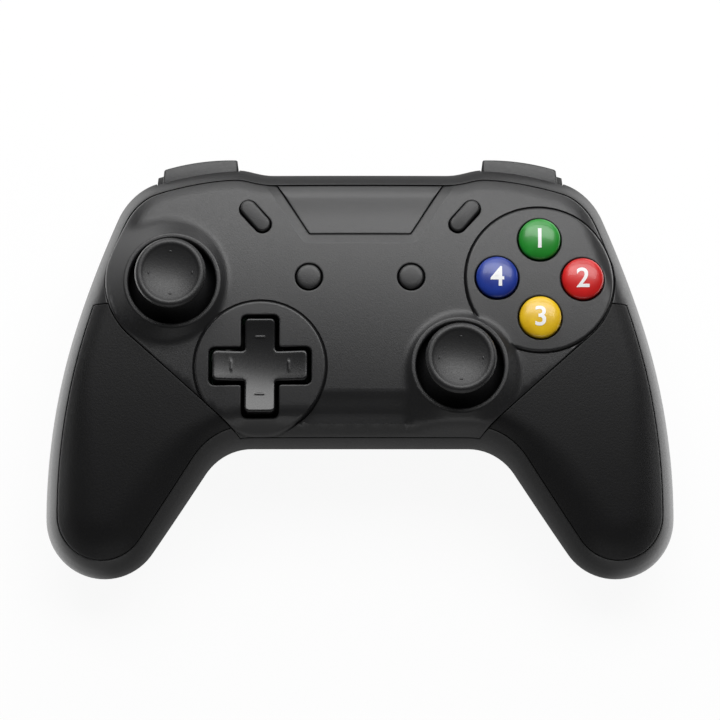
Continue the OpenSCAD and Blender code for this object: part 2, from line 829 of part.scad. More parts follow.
module gimbal_hub(p) {
    color(rubber_grey)
        translate([p.x, p.y, pivot_z])
            difference() {
                union() {
                    sphere(hub_r);
                    rotate([90, 0, 0]) cylinder(r = hub_pin_r, h = 2 * ring_r - 0.4, center = true);
                }
                cylinder(r = shaft_r + fit_gap, h = 4 * hub_r, center = true);
            }
}

// Thumb stick: shaft, dome, waisted neck and dished cap, turned as one piece
skirt_angle = 20;
neck_r = 3.7;
rim_r = 1.15;
dish_depth = 1.4;
dome_in_r = dome_r - dome_wall;
rim_c = [cap_r - rim_r, cap_h - rim_r];
dish_r = rim_c.x + rim_r * cos(130);
dish_sphere = (dish_r * dish_r + dish_depth * dish_depth) / (2 * dish_depth);
dish_low = rim_c.y + rim_r * sin(130) - dish_depth;
dish_half = asin(dish_r / dish_sphere);
stick_profile = concat(
    [[0, -shaft_drop], [shaft_r, -shaft_drop]],
    arc([0, 0], dome_in_r, acos(shaft_r / dome_in_r), skirt_angle, 8),
    arc([0, 0], dome_r, skirt_angle, acos(neck_r / dome_r), 8),
    [[neck_r - 0.2, 13.4], [neck_r + 0.3, 15], [neck_r + 1.6, 16.9]],
    arc(rim_c, rim_r, -60, 130, 8),
    [for (i = [7:-1:0]) let (a = dish_half * i / 8) [dish_sphere * sin(a), dish_low + dish_sphere * (1 - cos(a))]]
);
module thumb_stick(p) {
    color(trim_black) translate([p.x, p.y, pivot_z]) rotate_extrude() polygon(stick_profile);
}

// Rubber pads under the buttons
pad_t = 1;
pad_rim = 0.7;
face_pad_r = 4.2;
dpad_dome_r = 2.6;
menu_pad_r = 2.3;
pad_top_z = board_z + 4.5;
press_gap = 0.05;
plunger_z = pad_top_z + press_gap;
module rubber_dome(p, r) {
    translate([p.x, p.y, board_z + pad_t / 2])
        difference() {
            cylinder(r1 = r, r2 = r * 0.76, h = pad_top_z - board_z - pad_t / 2);
            translate([0, 0, -pad_t]) cylinder(r1 = r - 0.5, r2 = r * 0.76 - 0.6, h = 4 - pad_t / 2);
        }
}
module pad_link(a, b, w) {
    d = b - a;
    translate([a.x, a.y, board_z])
        rotate(atan2(d.y, d.x)) translate([0, -w / 2, 0]) cube([norm(d), w, pad_t]);
}
module pad_base(p, r) {
    translate([p.x, p.y, board_z]) cylinder(r = r, h = pad_t);
}
module rubber_pad(places, links, r) {
    difference() {
        union() {
            for (p = places) pad_base(p, r + pad_rim);
            for (l = links) pad_link(l[0], l[1], 2.4);
        }
        for (p = places) translate([p.x, p.y, board_z - 1]) cylinder(r = r - 0.5, h = pad_t + 2);
    }
    for (p = places) rubber_dome(p, r);
}
module face_button_pad() {
    color(rubber_grey)
        rubber_pad(face_buttons, [[north, east], [east, south], [south, west], [west, north]], face_pad_r);
}
dpad_pad_r = 8;
dpad_pads = [for (a = [0:90:270]) dpad_c + at_angle(dpad_pad_r, a)];
module dpad_pad() {
    color(rubber_grey)
        rubber_pad(dpad_pads, [for (i = [0:3]) [dpad_pads[i], dpad_pads[(i + 1) % 4]]], dpad_dome_r);
}
menu_pads = [[-slant_x, slant_y], [-menu_x, menu_y], [menu_x, menu_y], [slant_x, slant_y]];
module menu_pad() {
    color(rubber_grey)
        rubber_pad(menu_pads, [for (i = [0:2]) [menu_pads[i], menu_pads[i + 1]]], menu_pad_r);
}

// Face buttons: a plunger, a flange under the face plate and a domed cap
flange_z = board_z + 8;
flange_t = 1.2;
flange_lip = 1.2;
button_dome = 1.6;
function domed(r, rise, top) = [for (a = [0:10:90]) [r * cos(a), top - rise + rise * sin(a)]];
module turned_button(p, r, plunger_r, flange_low, top, dome) {
    translate([p.x, p.y, 0])
        rotate_extrude()
            polygon(concat(
                [
                    [0, plunger_z], [plunger_r, plunger_z], [plunger_r, flange_low], [r + flange_lip, flange_low],
                    [r + flange_lip, flange_low + flange_t], [r, flange_low + flange_t]
                ],
                domed(r, dome, top)
            ));
}
module face_button(p, tint) {
    color(tint) turned_button(p, button_r, 3, flange_z, crown_at(p) + button_rise, button_dome);
}

// Small buttons
small_flange_z = flange_z + 1;
small_dome = 0.5;
module menu_button() {
    p = [menu_x, menu_y];
    color(body_black) turned_button(p, menu_r, 1.7, small_flange_z, crown_at(p) + small_rise, small_dome);
}
module slant_button() {
    p = [slant_x, slant_y];
    top = crown_at(p) + small_rise;
    edge = 0.5;
    color(body_black)
        translate([p.x, p.y, 0])
            rotate(slant_angle) {
                translate([0, 0, small_flange_z])
                    linear_extrude(flange_t) capsule(slant_len + 1.8, slant_w + 1.8);
                translate([0, 0, small_flange_z]) linear_extrude(top - edge - small_flange_z) capsule(slant_len, slant_w);
                translate([0, 0, top - edge - 0.01])
                    linear_extrude(edge) capsule(slant_len - edge, slant_w - edge);
                translate([0, 0, plunger_z]) cylinder(r = 1.6, h = small_flange_z - plunger_z + 0.1);
            }
}

// D-pad: a dished cross over a ball, on a post that stands on the board
ball_r = 1.6;
ball_z = board_z + 6;
post_cup_drop = 0.4;
dpad_post_r = 2.6;
dpad_hub_r = 3.2;
dpad_flange_z = ball_z + 1.7;
dpad_flange_t = 1.2;
dpad_flange_len = dpad_len + 0.8;
dpad_flange_w = dpad_w + 3.6;
dpad_corner = 1.2;
dpad_low_top = 37.4;
dpad_dish = 50;
module dpad() {
    color(trim_black)
        translate([dpad_c.x, dpad_c.y, 0])
            difference() {
                union() {
                    translate([0, 0, dpad_flange_z])
                        linear_extrude(dpad_low_top + 3 - dpad_flange_z) cross(dpad_len, dpad_w, dpad_corner);
                    translate([0, 0, dpad_flange_z])
                        linear_extrude(dpad_flange_t) cross(dpad_flange_len, dpad_flange_w, dpad_corner);
                    translate([0, 0, ball_z + post_cup_drop])
                        cylinder(r = dpad_hub_r, h = dpad_flange_z - ball_z);
                    for (a = [0:90:270])
                        rotate(a)
                            translate([dpad_pad_r, 0, plunger_z])
                                cylinder(r = 1.8, h = dpad_flange_z - plunger_z + 0.1);
                }
                translate([0, 0, ball_z]) sphere(ball_r + fit_gap);
                translate([0, 0, dpad_low_top + dpad_dish]) sphere(dpad_dish);
            }
}
module dpad_ball() {
    color(steel) translate([dpad_c.x, dpad_c.y, ball_z]) sphere(ball_r);
}
module dpad_post() {
    color(trim_black)
        difference() {
            translate([dpad_c.x, dpad_c.y, board_z])
                cylinder(r = dpad_post_r, h = ball_z - post_cup_drop - board_z);
            translate([dpad_c.x, dpad_c.y, ball_z]) sphere(ball_r + fit_gap);
        }
}

// Bumper: a curved bar over the shoulder on a lever that swings on an upright pin
bumper_start = 0.1;
bumper_x0 = shoulder_in_x + bumper_start;
bumper_deep = 5.3;
bumper_in_y = shoulder_y - bumper_deep;
bumper_peak = 1.6;
bumper_over = 1.4;
bumper_c = [bumper_x0 + bumper_peak, shoulder_y + bumper_over - bumper_r];
bumper_pivot_in = 3.1;
bumper_pivot_low = 6;
bumper_pivot = [bumper_x0 - bumper_pivot_in, shoulder_y - bumper_pivot_low];
bumper_boss_r = 2.2;
bumper_lever_gap = 0.4;
bumper_lever_z = board_z + bumper_lever_gap;
bumper_edge = 0.6;
bumper_lever_drop = 1.6;
bumper_lever_top = bumper_z1 - bumper_lever_drop;
module bumper_bar_2d(shrink) {
    intersection() {
        translate(bumper_c) circle(bumper_r - shrink, $fn = 96);
        polygon([
            [bumper_x0 + shrink, bumper_in_y], [bumper_x0 + shrink, top_y + 9],
            [bumper_x0 + bumper_len - shrink, top_y + 9], [bumper_x0 + bumper_len + 0.5 - shrink, bumper_in_y]
        ]);
    }
}
module bumper() {
    color(trim_black)
        difference() {
            union() {
                translate([0, 0, bumper_z0 + bumper_edge])
                    linear_extrude(bumper_z1 - bumper_z0 - 2 * bumper_edge) bumper_bar_2d(0);
                translate([0, 0, bumper_z0]) linear_extrude(bumper_z1 - bumper_z0) bumper_bar_2d(bumper_edge);
                translate([0, 0, bumper_lever_z])
                    linear_extrude(bumper_lever_top - bumper_lever_z) {
                        translate(bumper_pivot) circle(bumper_boss_r);
                        translate([bumper_pivot.x, bumper_pivot.y])
                            square([bumper_x0 - bumper_pivot.x + 1.5, bumper_boss_r]);
                    }
            }
            translate([bumper_pivot.x, bumper_pivot.y, 0]) cylinder(r = pin_r + fit_gap, h = 60);
        }
}

// Trigger: a hooked finger lever on a pin across the shoulder
trigger_boss_r = 3;
trigger_over = 3.4;
trigger_out_y = shoulder_y + trigger_over;
trigger_mid_z = 10.6;
trigger_c = [trigger_out_y - trigger_r, trigger_mid_z];
trigger_hook_in = 14.4;
trigger_hook_z = 6.5;
trigger_hook_c = [trigger_out_y - trigger_hook_in, trigger_hook_z];
trigger_hook_r = 8.6;
trigger_tip_z = 2.8;
trigger_tip_r = 1.5;
trigger_tip_lift = 0.4;
trigger_tip_in = 5;
trigger_tip_y = trigger_out_y - trigger_tip_in;
trigger_web_z = 12;
trigger_edge = 1;
spring_r = 2;
spring_wire_r = 0.25;
spring_pitch = 0.95;
spring_turns = 3.25;
spring_steps = 26;
spring_gap = 0.1;
spring_len = spring_turns * spring_pitch;
spring_x = trigger_x + (trigger_w - spring_len) / 2;
spring_slot_r = trigger_boss_r + spring_gap;
spring_slot_end = 0.6;
module trigger_2d(shrink) {
    difference() {
        intersection() {
            translate(trigger_c) circle(trigger_r - shrink, $fn = 96);
            translate([trigger_c.x, trigger_tip_z]) square([trigger_r, trigger_top_z - trigger_tip_z]);
        }
        translate(trigger_hook_c) circle(trigger_hook_r, $fn = 96);
    }
    translate([trigger_tip_y, trigger_tip_z + trigger_tip_lift]) circle(trigger_tip_r);
    translate(trigger_pivot) circle(trigger_boss_r);
    polygon([
        trigger_pivot + [0, -trigger_boss_r], [trigger_tip_y, trigger_web_z],
        [trigger_tip_y, trigger_top_z], [trigger_pivot.x, trigger_top_z]
    ]);
}
module along_x(x0, len) {
    translate([x0, 0, 0]) rotate([90, 0, 90]) linear_extrude(len) children();
}
module trigger() {
    color(trim_black)
        difference() {
            union() {
                along_x(trigger_x + trigger_edge, trigger_w - 2 * trigger_edge) trigger_2d(0);
                along_x(trigger_x, trigger_w) trigger_2d(trigger_edge);
            }
            translate([0, trigger_pivot.x, trigger_pivot.y])
                rotate([0, 90, 0]) cylinder(r = pin_r + fit_gap, h = body_w);
            translate([spring_x - spring_slot_end, trigger_pivot.x, trigger_pivot.y])
                rotate([0, 90, 0]) cylinder(r = spring_slot_r, h = spring_len + 2 * spring_slot_end);
        }
}

// Trigger spring: a coil round the trigger pin, in a slot of the trigger's boss.
// One leg stands under the bracket and the other pushes the trigger out.
spring_reach = sqrt(pow(spring_slot_r, 2) - pow(spring_r + spring_wire_r, 2)) - spring_gap;
function spring_at(turn) =
    let (a = 180 + 360 * turn)
        [spring_x + spring_pitch * turn, trigger_pivot.x + spring_r * cos(a), trigger_pivot.y + spring_r * sin(a)];
spring_path = concat(
    [[spring_x, trigger_pivot.x - spring_r, board_under - spring_gap]],
    [for (i = [0:spring_steps]) spring_at(spring_turns * i / spring_steps)],
    [[spring_x + spring_len, trigger_pivot.x + spring_reach, trigger_pivot.y - spring_r]]
);
module wire(path, r) {
    sides = 6;
    last = len(path) - 1;
    rings = [
        for (i = [0:last])
            let (d = path[min(i + 1, last)] - path[max(i - 1, 0)], t = d / norm(d))
            let (w = [1, 0, 0] - t.x * t, u = w / norm(w), v = cross(t, u))
                each [for (k = [0:sides - 1]) path[i] + r * (u * cos(360 * k / sides) + v * sin(360 * k / sides))]
    ];
    walls = [
        for (i = [0:last - 1], k = [0:sides - 1])
            let (a = i * sides + k, b = i * sides + (k + 1) % sides)
                each [[b, a, a + sides], [b, a + sides, b + sides]]
    ];
    ends = [
        for (k = [1:sides - 2])
            each [[0, k, k + 1], [last * sides, last * sides + k + 1, last * sides + k]]
    ];
    polyhedron(rings, concat(walls, ends));
}
module trigger_spring() {
    color(steel) wire(spring_path, spring_wire_r);
}

// Shoulder bracket: a plate level with the board that carries the trigger pin in two ears and the bumper pin upright
ear_t = 1.6;
ear_gap = 0.3;
ear_r = 1.8;
ear_in_x = trigger_x - ear_gap - ear_t;
ear_out_x = trigger_x + trigger_w + ear_gap;
bracket_gap = 0.5;
bracket_low_y = board_top_y + bracket_gap;
bracket_deep = 5.1;
bracket_top_y = bracket_low_y + bracket_deep;
bracket_post_r = 2;
bracket_in_x = 18.1;
bracket_out_x = 54.2;
bracket_screw_in = [1.4, 3.3];
bracket_screw_out = [-2, 1.4];
bracket_screws = [
    [bracket_in_x, bracket_low_y] + bracket_screw_in, [bracket_out_x, bracket_low_y] + bracket_screw_out
];
module bracket_2d() {
    polygon([
        [bracket_in_x, bracket_low_y], [bracket_out_x, bracket_low_y], [bracket_out_x, bracket_low_y + 3],
        [ear_out_x + ear_t, bracket_top_y], [bumper_x0 - 0.8, bracket_top_y], [bumper_x0 - 0.8, bumper_pivot.y],
        [bumper_pivot.x - bumper_boss_r, bumper_pivot.y], [bumper_pivot.x - bumper_boss_r, bracket_top_y],
        [bracket_in_x, bracket_top_y]
    ]);
    translate(bumper_pivot) circle(bumper_boss_r);
}
module shoulder_bracket() {
    color(rubber_grey)
        difference() {
            union() {
                translate([0, 0, board_under]) linear_extrude(board_t) bracket_2d();
                for (x = [ear_in_x, ear_out_x])
                    along_x(x, ear_t) {
                        translate(trigger_pivot) circle(ear_r);
                        translate([trigger_pivot.x - ear_r, trigger_pivot.y])
                            square([2 * ear_r, board_under - trigger_pivot.y + 0.1]);
                    }
            }
            translate([0, trigger_pivot.x, trigger_pivot.y])
                rotate([0, 90, 0]) cylinder(r = pin_r + 0.02, h = body_w);
            translate([bumper_pivot.x, bumper_pivot.y, 0]) cylinder(r = pin_r + 0.02, h = 60);
            for (p = bracket_screws)
                translate([p.x, p.y, 0]) cylinder(r = board_screw_r + board_hole_gap, h = 60);
        }
}
module trigger_pin() {
    color(steel)
        translate([ear_in_x, trigger_pivot.x, trigger_pivot.y])
            rotate([0, 90, 0]) cylinder(r = pin_r, h = ear_out_x + ear_t - ear_in_x);
}
module bumper_pin() {
    color(steel)
        translate([bumper_pivot.x, bumper_pivot.y, board_under]) cylinder(r = pin_r, h = bumper_lever_top - board_under);
}
switch_size = [6, 4, 6];
switch_in = 3;
switch_x = bumper_x0 + switch_in;
switch_edge = 0.6;
switch_y = bracket_low_y + switch_edge;
switch_tip_r = 1.2;
switch_tip_gap = 0.7;
module bumper_switch() {
    color(trim_black) {
        translate([switch_x, switch_y, board_z]) cube(switch_size);
        translate([switch_x + switch_size.x / 2, switch_y + switch_size.y - 0.1, board_z + switch_size.z / 2])
            rotate([-90, 0, 0])
                cylinder(r = switch_tip_r, h = bumper_in_y - switch_tip_gap - switch_y - switch_size.y + 0.1);
    }
}

// Rumble motor and its swinging weight, in the handle
weight_len = 7.5;
weight_gap = 1.6;
motor_shaft_r = 0.95;
module along_y(y0) {
    translate([motor_x, y0, motor_z]) rotate([-90, 0, 0]) children();
}
module rumble_motor() {
    color(steel)
        difference() {
            union() {
                along_y(motor_front_y) cylinder(r = motor_r, h = motor_len);
                along_y(motor_front_y - 0.8) cylinder(r = 2.6, h = 1);
            }
            along_y(motor_front_y - 2) cylinder(r = motor_shaft_r + fit_gap, h = 7);
        }
}
module rumble_weight() {
    color("#9a8f7a") {
        along_y(motor_front_y - weight_gap - weight_len) {
            cylinder(r = 2.2, h = weight_len);
            cylinder(r = motor_shaft_r, h = weight_len + weight_gap + 4);
            intersection() {
                cylinder(r = weight_r, h = weight_len);
                translate([-weight_r, 0, 0]) cube([2 * weight_r, weight_r, weight_len]);
            }
        }
    }
}

front_shell();
rear_shell();
left_grip();
right_grip();
center_panel();
case_screws();
thumb_stick(left_stick);  // left_thumb_stick
thumb_stick(right_stick);  // right_thumb_stick
gimbal_ring(left_stick);  // left_gimbal_ring
gimbal_ring(right_stick);  // right_gimbal_ring
gimbal_hub(left_stick);  // left_gimbal_hub
gimbal_hub(right_stick);  // right_gimbal_hub
stick_housing(left_stick);  // left_stick_housing
stick_housing(right_stick);  // right_stick_housing
dpad();
dpad_ball();
dpad_post();
dpad_pad();
face_button(north, "#2c9a35");  // green_button
face_button(east, "#d3211f");  // red_button
face_button(south, "#f0c014");  // yellow_button
face_button(west, "#1f48a8");  // blue_button
face_button_pad();
left_side() menu_button();  // left_menu_button
menu_button();  // right_menu_button
left_side() slant_button();  // left_slant_button
slant_button();  // right_slant_button
menu_pad();
left_side() bumper();  // left_bumper
bumper();  // right_bumper
left_side() trigger();  // left_trigger
trigger();  // right_trigger
left_side() trigger_pin();  // left_trigger_pin
trigger_pin();  // right_trigger_pin
left_side() trigger_spring();  // left_trigger_spring
trigger_spring();  // right_trigger_spring
left_side() bumper_pin();  // left_bumper_pin
bumper_pin();  // right_bumper_pin
left_side() shoulder_bracket();  // left_bracket
shoulder_bracket();  // right_bracket
left_side() bumper_switch();  // left_bumper_switch
bumper_switch();  // right_bumper_switch
main_board();
board_screws();
usb_c_port();
battery();
left_side() rumble_motor();  // left_rumble_motor
rumble_motor();  // right_rumble_motor
left_side() rumble_weight();  // left_rumble_weight
rumble_weight();  // right_rumble_weight
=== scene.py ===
import math

import bmesh
import bpy
import numpy as np
from mathutils import Matrix, Vector
from mathutils.geometry import convex_hull_2d, delaunay_2d_cdt
from mathutils.kdtree import KDTree


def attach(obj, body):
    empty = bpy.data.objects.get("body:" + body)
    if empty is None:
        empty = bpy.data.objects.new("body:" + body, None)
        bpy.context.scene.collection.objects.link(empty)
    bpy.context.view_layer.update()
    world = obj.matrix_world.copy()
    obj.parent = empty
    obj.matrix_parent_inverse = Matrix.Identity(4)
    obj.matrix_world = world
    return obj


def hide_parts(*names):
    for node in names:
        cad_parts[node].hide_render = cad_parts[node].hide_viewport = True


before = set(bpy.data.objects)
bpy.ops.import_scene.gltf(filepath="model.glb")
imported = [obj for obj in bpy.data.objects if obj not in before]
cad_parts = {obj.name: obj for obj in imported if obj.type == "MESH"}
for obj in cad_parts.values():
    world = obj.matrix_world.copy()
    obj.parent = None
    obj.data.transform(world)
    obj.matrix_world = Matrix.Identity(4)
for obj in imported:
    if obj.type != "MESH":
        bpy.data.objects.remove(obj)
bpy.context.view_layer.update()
mm = 0.001  # shapes are worked out in millimetres, meshes are in metres
print("frame loaded:", len(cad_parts), "nodes")


# Colours are written as sRGB hex and used as linear values
def linear(hexColour):
    parts = [int(hexColour[i:i + 2], 16) / 255 for i in (1, 3, 5)]
    return [*(c / 12.92 if c <= 0.04045 else ((c + 0.055) / 1.055) ** 2.4 for c in parts), 1.0]


def addNode(tree, kind, sockets=None, **settings):
    node = tree.nodes.new(kind)
    for name, value in settings.items():
        setattr(node, name, value)
    for name, value in (sockets or {}).items():
        if isinstance(value, bpy.types.NodeSocket):
            tree.links.new(value, node.inputs[name])
        else:
            node.inputs[name].default_value = value
    return node


def newMaterial(name):
    material = bpy.data.materials.new(name)
    material.use_nodes = True
    tree = material.node_tree
    shader = tree.nodes["Principled BSDF"]
    place = addNode(tree, "ShaderNodeTexCoord").outputs["Object"]
    return material, tree, shader, place


# Moulded plastic: a fine spark-eroded grain in the mould gives the matt, faintly mottled surface.
# The real grain is finer than a tenth of a millimetre and is drawn coarser, so that it shows.
def mouldedPlastic(name, look):
    material, tree, shader, place = newMaterial(name)
    grain = addNode(tree, "ShaderNodeTexNoise", {
        "Vector": place, "Scale": 1 / (look["grainMm"] * mm), "Detail": 2.0, "Roughness": 0.6})
    cloudMm = 14
    cloud = addNode(tree, "ShaderNodeTexNoise", {"Vector": place, "Scale": 1 / (cloudMm * mm), "Detail": 3.0})
    tint = addNode(tree, "ShaderNodeValToRGB", {"Fac": cloud.outputs["Fac"]})
    tint.color_ramp.elements[0].position = 0.3
    tint.color_ramp.elements[0].color = linear(look["dark"])
    tint.color_ramp.elements[1].position = 0.7
    tint.color_ramp.elements[1].color = linear(look["light"])
    rough = addNode(tree, "ShaderNodeMapRange", {
        "Value": grain.outputs["Fac"], "From Min": 0.3, "From Max": 0.7,
        "To Min": look["roughness"] - 0.05, "To Max": look["roughness"] + 0.05})
    bump = addNode(tree, "ShaderNodeBump", {
        "Height": grain.outputs["Fac"], "Strength": look["bump"], "Distance": look["grainMm"] * mm * 0.3})
    tree.links.new(tint.outputs["Color"], shader.inputs["Base Color"])
    tree.links.new(rough.outputs["Result"], shader.inputs["Roughness"])
    tree.links.new(bump.outputs["Normal"], shader.inputs["Normal"])
    shader.inputs["IOR"].default_value = look.get("ior", 1.5)
    return material


# Glossy buttons: tinted clear plastic over colour, polished, so the lamps mirror in the dome
def glossyPlastic(name, look):
    material, tree, shader, place = newMaterial(name)
    cloudMm = 4
    cloud = addNode(tree, "ShaderNodeTexNoise", {"Vector": place, "Scale": 1 / (cloudMm * mm), "Detail": 2.0})
    tint = addNode(tree, "ShaderNodeValToRGB", {"Fac": cloud.outputs["Fac"]})
    tint.color_ramp.elements[0].position = 0.35
    tint.color_ramp.elements[0].color = linear(look["dark"])
    tint.color_ramp.elements[1].position = 0.65
    tint.color_ramp.elements[1].color = linear(look["light"])
    tree.links.new(tint.outputs["Color"], shader.inputs["Base Color"])
    shader.inputs["Roughness"].default_value = 0.36
    shader.inputs["IOR"].default_value = 1.5
    shader.inputs["Coat Weight"].default_value = 0.25
    shader.inputs["Coat Roughness"].default_value = 0.08
    return material


# Plated steel: drawn sheet with fine scratches along it
def platedSteel(name, look):
    material, tree, shader, place = newMaterial(name)
    scratchMm = 2.5
    spread = addNode(tree, "ShaderNodeMapping", {"Vector": place, "Scale": (1, 12, 12)})
    scratch = addNode(tree, "ShaderNodeTexNoise", {
        "Vector": spread.outputs["Vector"], "Scale": 1 / (scratchMm * mm), "Detail": 4.0})
    rough = addNode(tree, "ShaderNodeMapRange", {
        "Value": scratch.outputs["Fac"],
        "To Min": look["roughness"] - 0.1, "To Max": look["roughness"] + 0.12})
    shader.inputs["Base Color"].default_value = linear(look["colour"])
    shader.inputs["Metallic"].default_value = 1.0
    tree.links.new(rough.outputs["Result"], shader.inputs["Roughness"])
    return material


finishes = {
    "shell": mouldedPlastic("moulded_abs_black", dict(
        dark="#171718", light="#1a1a1b", roughness=0.41, grainMm=0.35, bump=0.25)),
    "grip": mouldedPlastic("soft_touch_grip_black", dict(
        dark="#0b0b0c", light="#0e0e0f", roughness=0.55, grainMm=0.5, bump=0.3, ior=1.35)),
    "panel": mouldedPlastic("satin_abs_black", dict(
        dark="#1e1e1f", light="#212122", roughness=0.4, grainMm=0.3, bump=0.15, ior=1.5)),
    "rubber": mouldedPlastic("stick_rubber_black", dict(
        dark="#131314", light="#161617", roughness=0.46, grainMm=0.4, bump=0.25)),
    "satin": mouldedPlastic("polished_abs_black", dict(
        dark="#171718", light="#1a1a1b", roughness=0.34, grainMm=0.4, bump=0.06)),
    "gloss": mouldedPlastic("mirror_polished_abs_black", dict(
        dark="#0f0f10", light="#121213", roughness=0.27, grainMm=0.12, bump=0.01)),
    # Dark plastic of the inner parts; on the bumper tabs the same near-black is painted shade for the gap
    # beside each bumper's end
    "inner": mouldedPlastic("plain_abs_dark_and_painted_gap_shade", dict(
        dark="#0a0a0b", light="#0c0c0d", roughness=0.6, grainMm=0.6, bump=0.1)),
    "pad": mouldedPlastic("silicone_grey", dict(
        dark="#6f7173", light="#7b7d7f", roughness=0.55, grainMm=0.8, bump=0.1)),
    "board": mouldedPlastic("solder_mask_green", dict(
        dark="#123a24", light="#174a2e", roughness=0.4, grainMm=0.5, bump=0.1)),
    "wrap": mouldedPlastic("shrink_wrap_blue", dict(
        dark="#2d4a78", light="#34558a", roughness=0.35, grainMm=0.8, bump=0.05)),
    "green": glossyPlastic("tinted_acrylic_green", dict(dark="#15791f", light="#1b8728")),
    "red": glossyPlastic("tinted_acrylic_red", dict(dark="#b80f0f", light="#c61816")),
    "yellow": glossyPlastic("tinted_acrylic_yellow", dict(dark="#cfa50a", light="#dcb512")),
    "blue": glossyPlastic("tinted_acrylic_blue", dict(dark="#102a80", light="#163590")),
    "white": mouldedPlastic("printed_ink_white", dict(
        dark="#dedede", light="#ececec", roughness=0.4, grainMm=0.4, bump=0.05)),
    "steel": platedSteel("nickel_plated_steel", dict(colour="#b4b6b8", roughness=0.3)),
    "weight": platedSteel("sintered_tungsten", dict(colour="#85807a", roughness=0.5)),
}
print("materials:", len(finishes))


# Outline and heights of the body in millimetres, as in the solids but for a slightly higher shoulder line
body = dict(
    width=155, handleReach=51.9, handleTipR=14.3, handleLean=34.3, chinY=20.2, chinFilletR=13.6,
    topY=47.6, topFlat=21.5, shoulderRise=1.5, shoulderInX=30.3, shoulderOutX=51, shoulderDrop=3.6,
    shoulderLean=17.5, sideX=60.2, sideY=36.5, sideLean=22.7,
    sidePull=(22.6, 30.3), cornerPull=(5, 3.5), shoulderPull=(7, 6), swoopPull=(2.8, 3.5),
    faceZ=38, crownRy=210, crownRx=600, crownMidY=12, topEdgeZ=23, tipEdgeZ=14, edgeTopY=8,
    frontRound=8, handleRound=13, handleX=(34, 52), handleDown=(0, 30),
    rearRound=17, rearZ=8.5, restSwell=0.5, heelX=(26, 50), heelY=(-14, 20),
    bellyY=14, bellyRx=34, bellyRy=30, bellyFlat=0.55, bowPower=2.2, step=1.3)


def heading(degrees):
    return np.array([math.cos(math.radians(degrees)), math.sin(math.radians(degrees))])


def bezier(p, count):
    t = np.linspace(0, 1, count + 1)[1:, None]
    a, b, c, d = (np.array(q, float) for q in p)
    return (1 - t) ** 3 * a + 3 * (1 - t) ** 2 * t * b + 3 * (1 - t) * t * t * c + t ** 3 * d


def arc(centre, r, a0, a1, count):
    turn = np.radians(np.linspace(a0, a1, count + 1))
    return np.array(centre) + r * np.stack([np.cos(turn), np.sin(turn)], 1)


def resample(points, step):
    closed = np.vstack([points, points[:1]])
    run = np.concatenate([[0], np.cumsum(np.linalg.norm(np.diff(closed, axis=0), axis=1))])
    stops = np.linspace(0, run[-1], max(8, int(run[-1] / step)), endpoint=False)
    return np.stack([np.interp(stops, run, closed[:, k]) for k in (0, 1)], 1)


def bodyOutline(b):
    half = b["width"] / 2
    shoulderY = b["topY"] + b["shoulderRise"]
    tip = np.array([half - b["handleTipR"], b["handleTipR"] - b["handleReach"]])
    pole = (b["handleLean"] - 180) / 2
    leanDir = heading(90 + b["handleLean"])
    sideTop = np.array([b["sideX"], b["sideY"]])
    sideDir = heading(90 + b["sideLean"])
    shoulderEnd = np.array([b["shoulderOutX"], shoulderY - b["shoulderDrop"]])
    shoulderDir = heading(180 - b["shoulderLean"])
    shoulderIn = np.array([b["shoulderInX"], shoulderY])
    topEnd = np.array([b["topFlat"], b["topY"]])
    across = np.array([1, 0])
    # each curve leaves its two ends by its two pulls
    out, back = b["sidePull"]
    side = [[half, tip[1]], [half, tip[1] + out], sideTop - back * sideDir, sideTop]
    out, back = b["cornerPull"]
    corner = [sideTop, sideTop + out * sideDir, shoulderEnd - back * shoulderDir, shoulderEnd]
    out, back = b["shoulderPull"]
    shoulder = [shoulderEnd, shoulderEnd + out * shoulderDir, shoulderIn + back * across, shoulderIn]
    out, back = b["swoopPull"]
    swoop = [shoulderIn, shoulderIn - out * across, topEnd + back * across, topEnd]
    innerStart = tip + b["handleTipR"] * heading(2 * pole)
    chinCorner = innerStart + leanDir * (-b["chinY"] - innerStart[1]) / leanDir[1]
    tangent = b["chinFilletR"] * math.tan(math.radians((90 - b["handleLean"]) / 2))
    fillet = [chinCorner[0] - tangent, -b["chinY"] - b["chinFilletR"]]
    right = np.vstack([
        arc(fillet, b["chinFilletR"], 90, b["handleLean"], 24),
        arc(tip, b["handleTipR"], 2 * pole, 0, 60),
        bezier(side, 60), bezier(corner, 16), bezier(shoulder, 24), bezier(swoop, 12)])
    return resample(np.vstack([right, right[::-1] * [-1, 1]]), b["step"])


# Pushes a closed counter-clockwise loop inwards
def inset(loop, t):
    along = np.roll(loop, -1, 0) - np.roll(loop, 1, 0)
    along /= np.linalg.norm(along, axis=1)[:, None]
    return loop + t * np.stack([-along[:, 1], along[:, 0]], 1)


def isInside(points, loop):
    x, y = points[:, 0][:, None], points[:, 1][:, None]
    a, b = loop, np.roll(loop, -1, 0)
    crosses = (a[:, 1] > y) != (b[:, 1] > y)
    rise = np.where(b[:, 1] == a[:, 1], 1, b[:, 1] - a[:, 1])
    return (crosses & (x < a[:, 0] + (y - a[:, 1]) * (b[:, 0] - a[:, 0]) / rise)).sum(1) % 2 == 1


# Distance to a loop's edges; past reach the exact value isn't needed
def loopDistance(points, loop, reach=1000.0):
    out = np.full(len(points), reach)
    near = np.flatnonzero(np.all((points > loop.min(0) - reach) & (points < loop.max(0) + reach), 1))
    run = np.roll(loop, -1, 0) - loop
    square = (run * run).sum(1)
    for part in np.array_split(near, max(1, len(near) // 2000)):
        rel = points[part][:, None, :] - loop
        t = np.clip((rel * run).sum(2) / square, 0, 1)
        gap = rel - t[..., None] * run
        out[part] = np.minimum(reach, np.sqrt((gap * gap).sum(2).min(1)))
    return out


def signed(points, loop):
    return loopDistance(points, loop) * np.where(isInside(points, loop), 1, -1)


def ease(a, b, v):
    u = np.clip((v - a) / (b - a), 0, 1)
    return u * u * (3 - 2 * u)


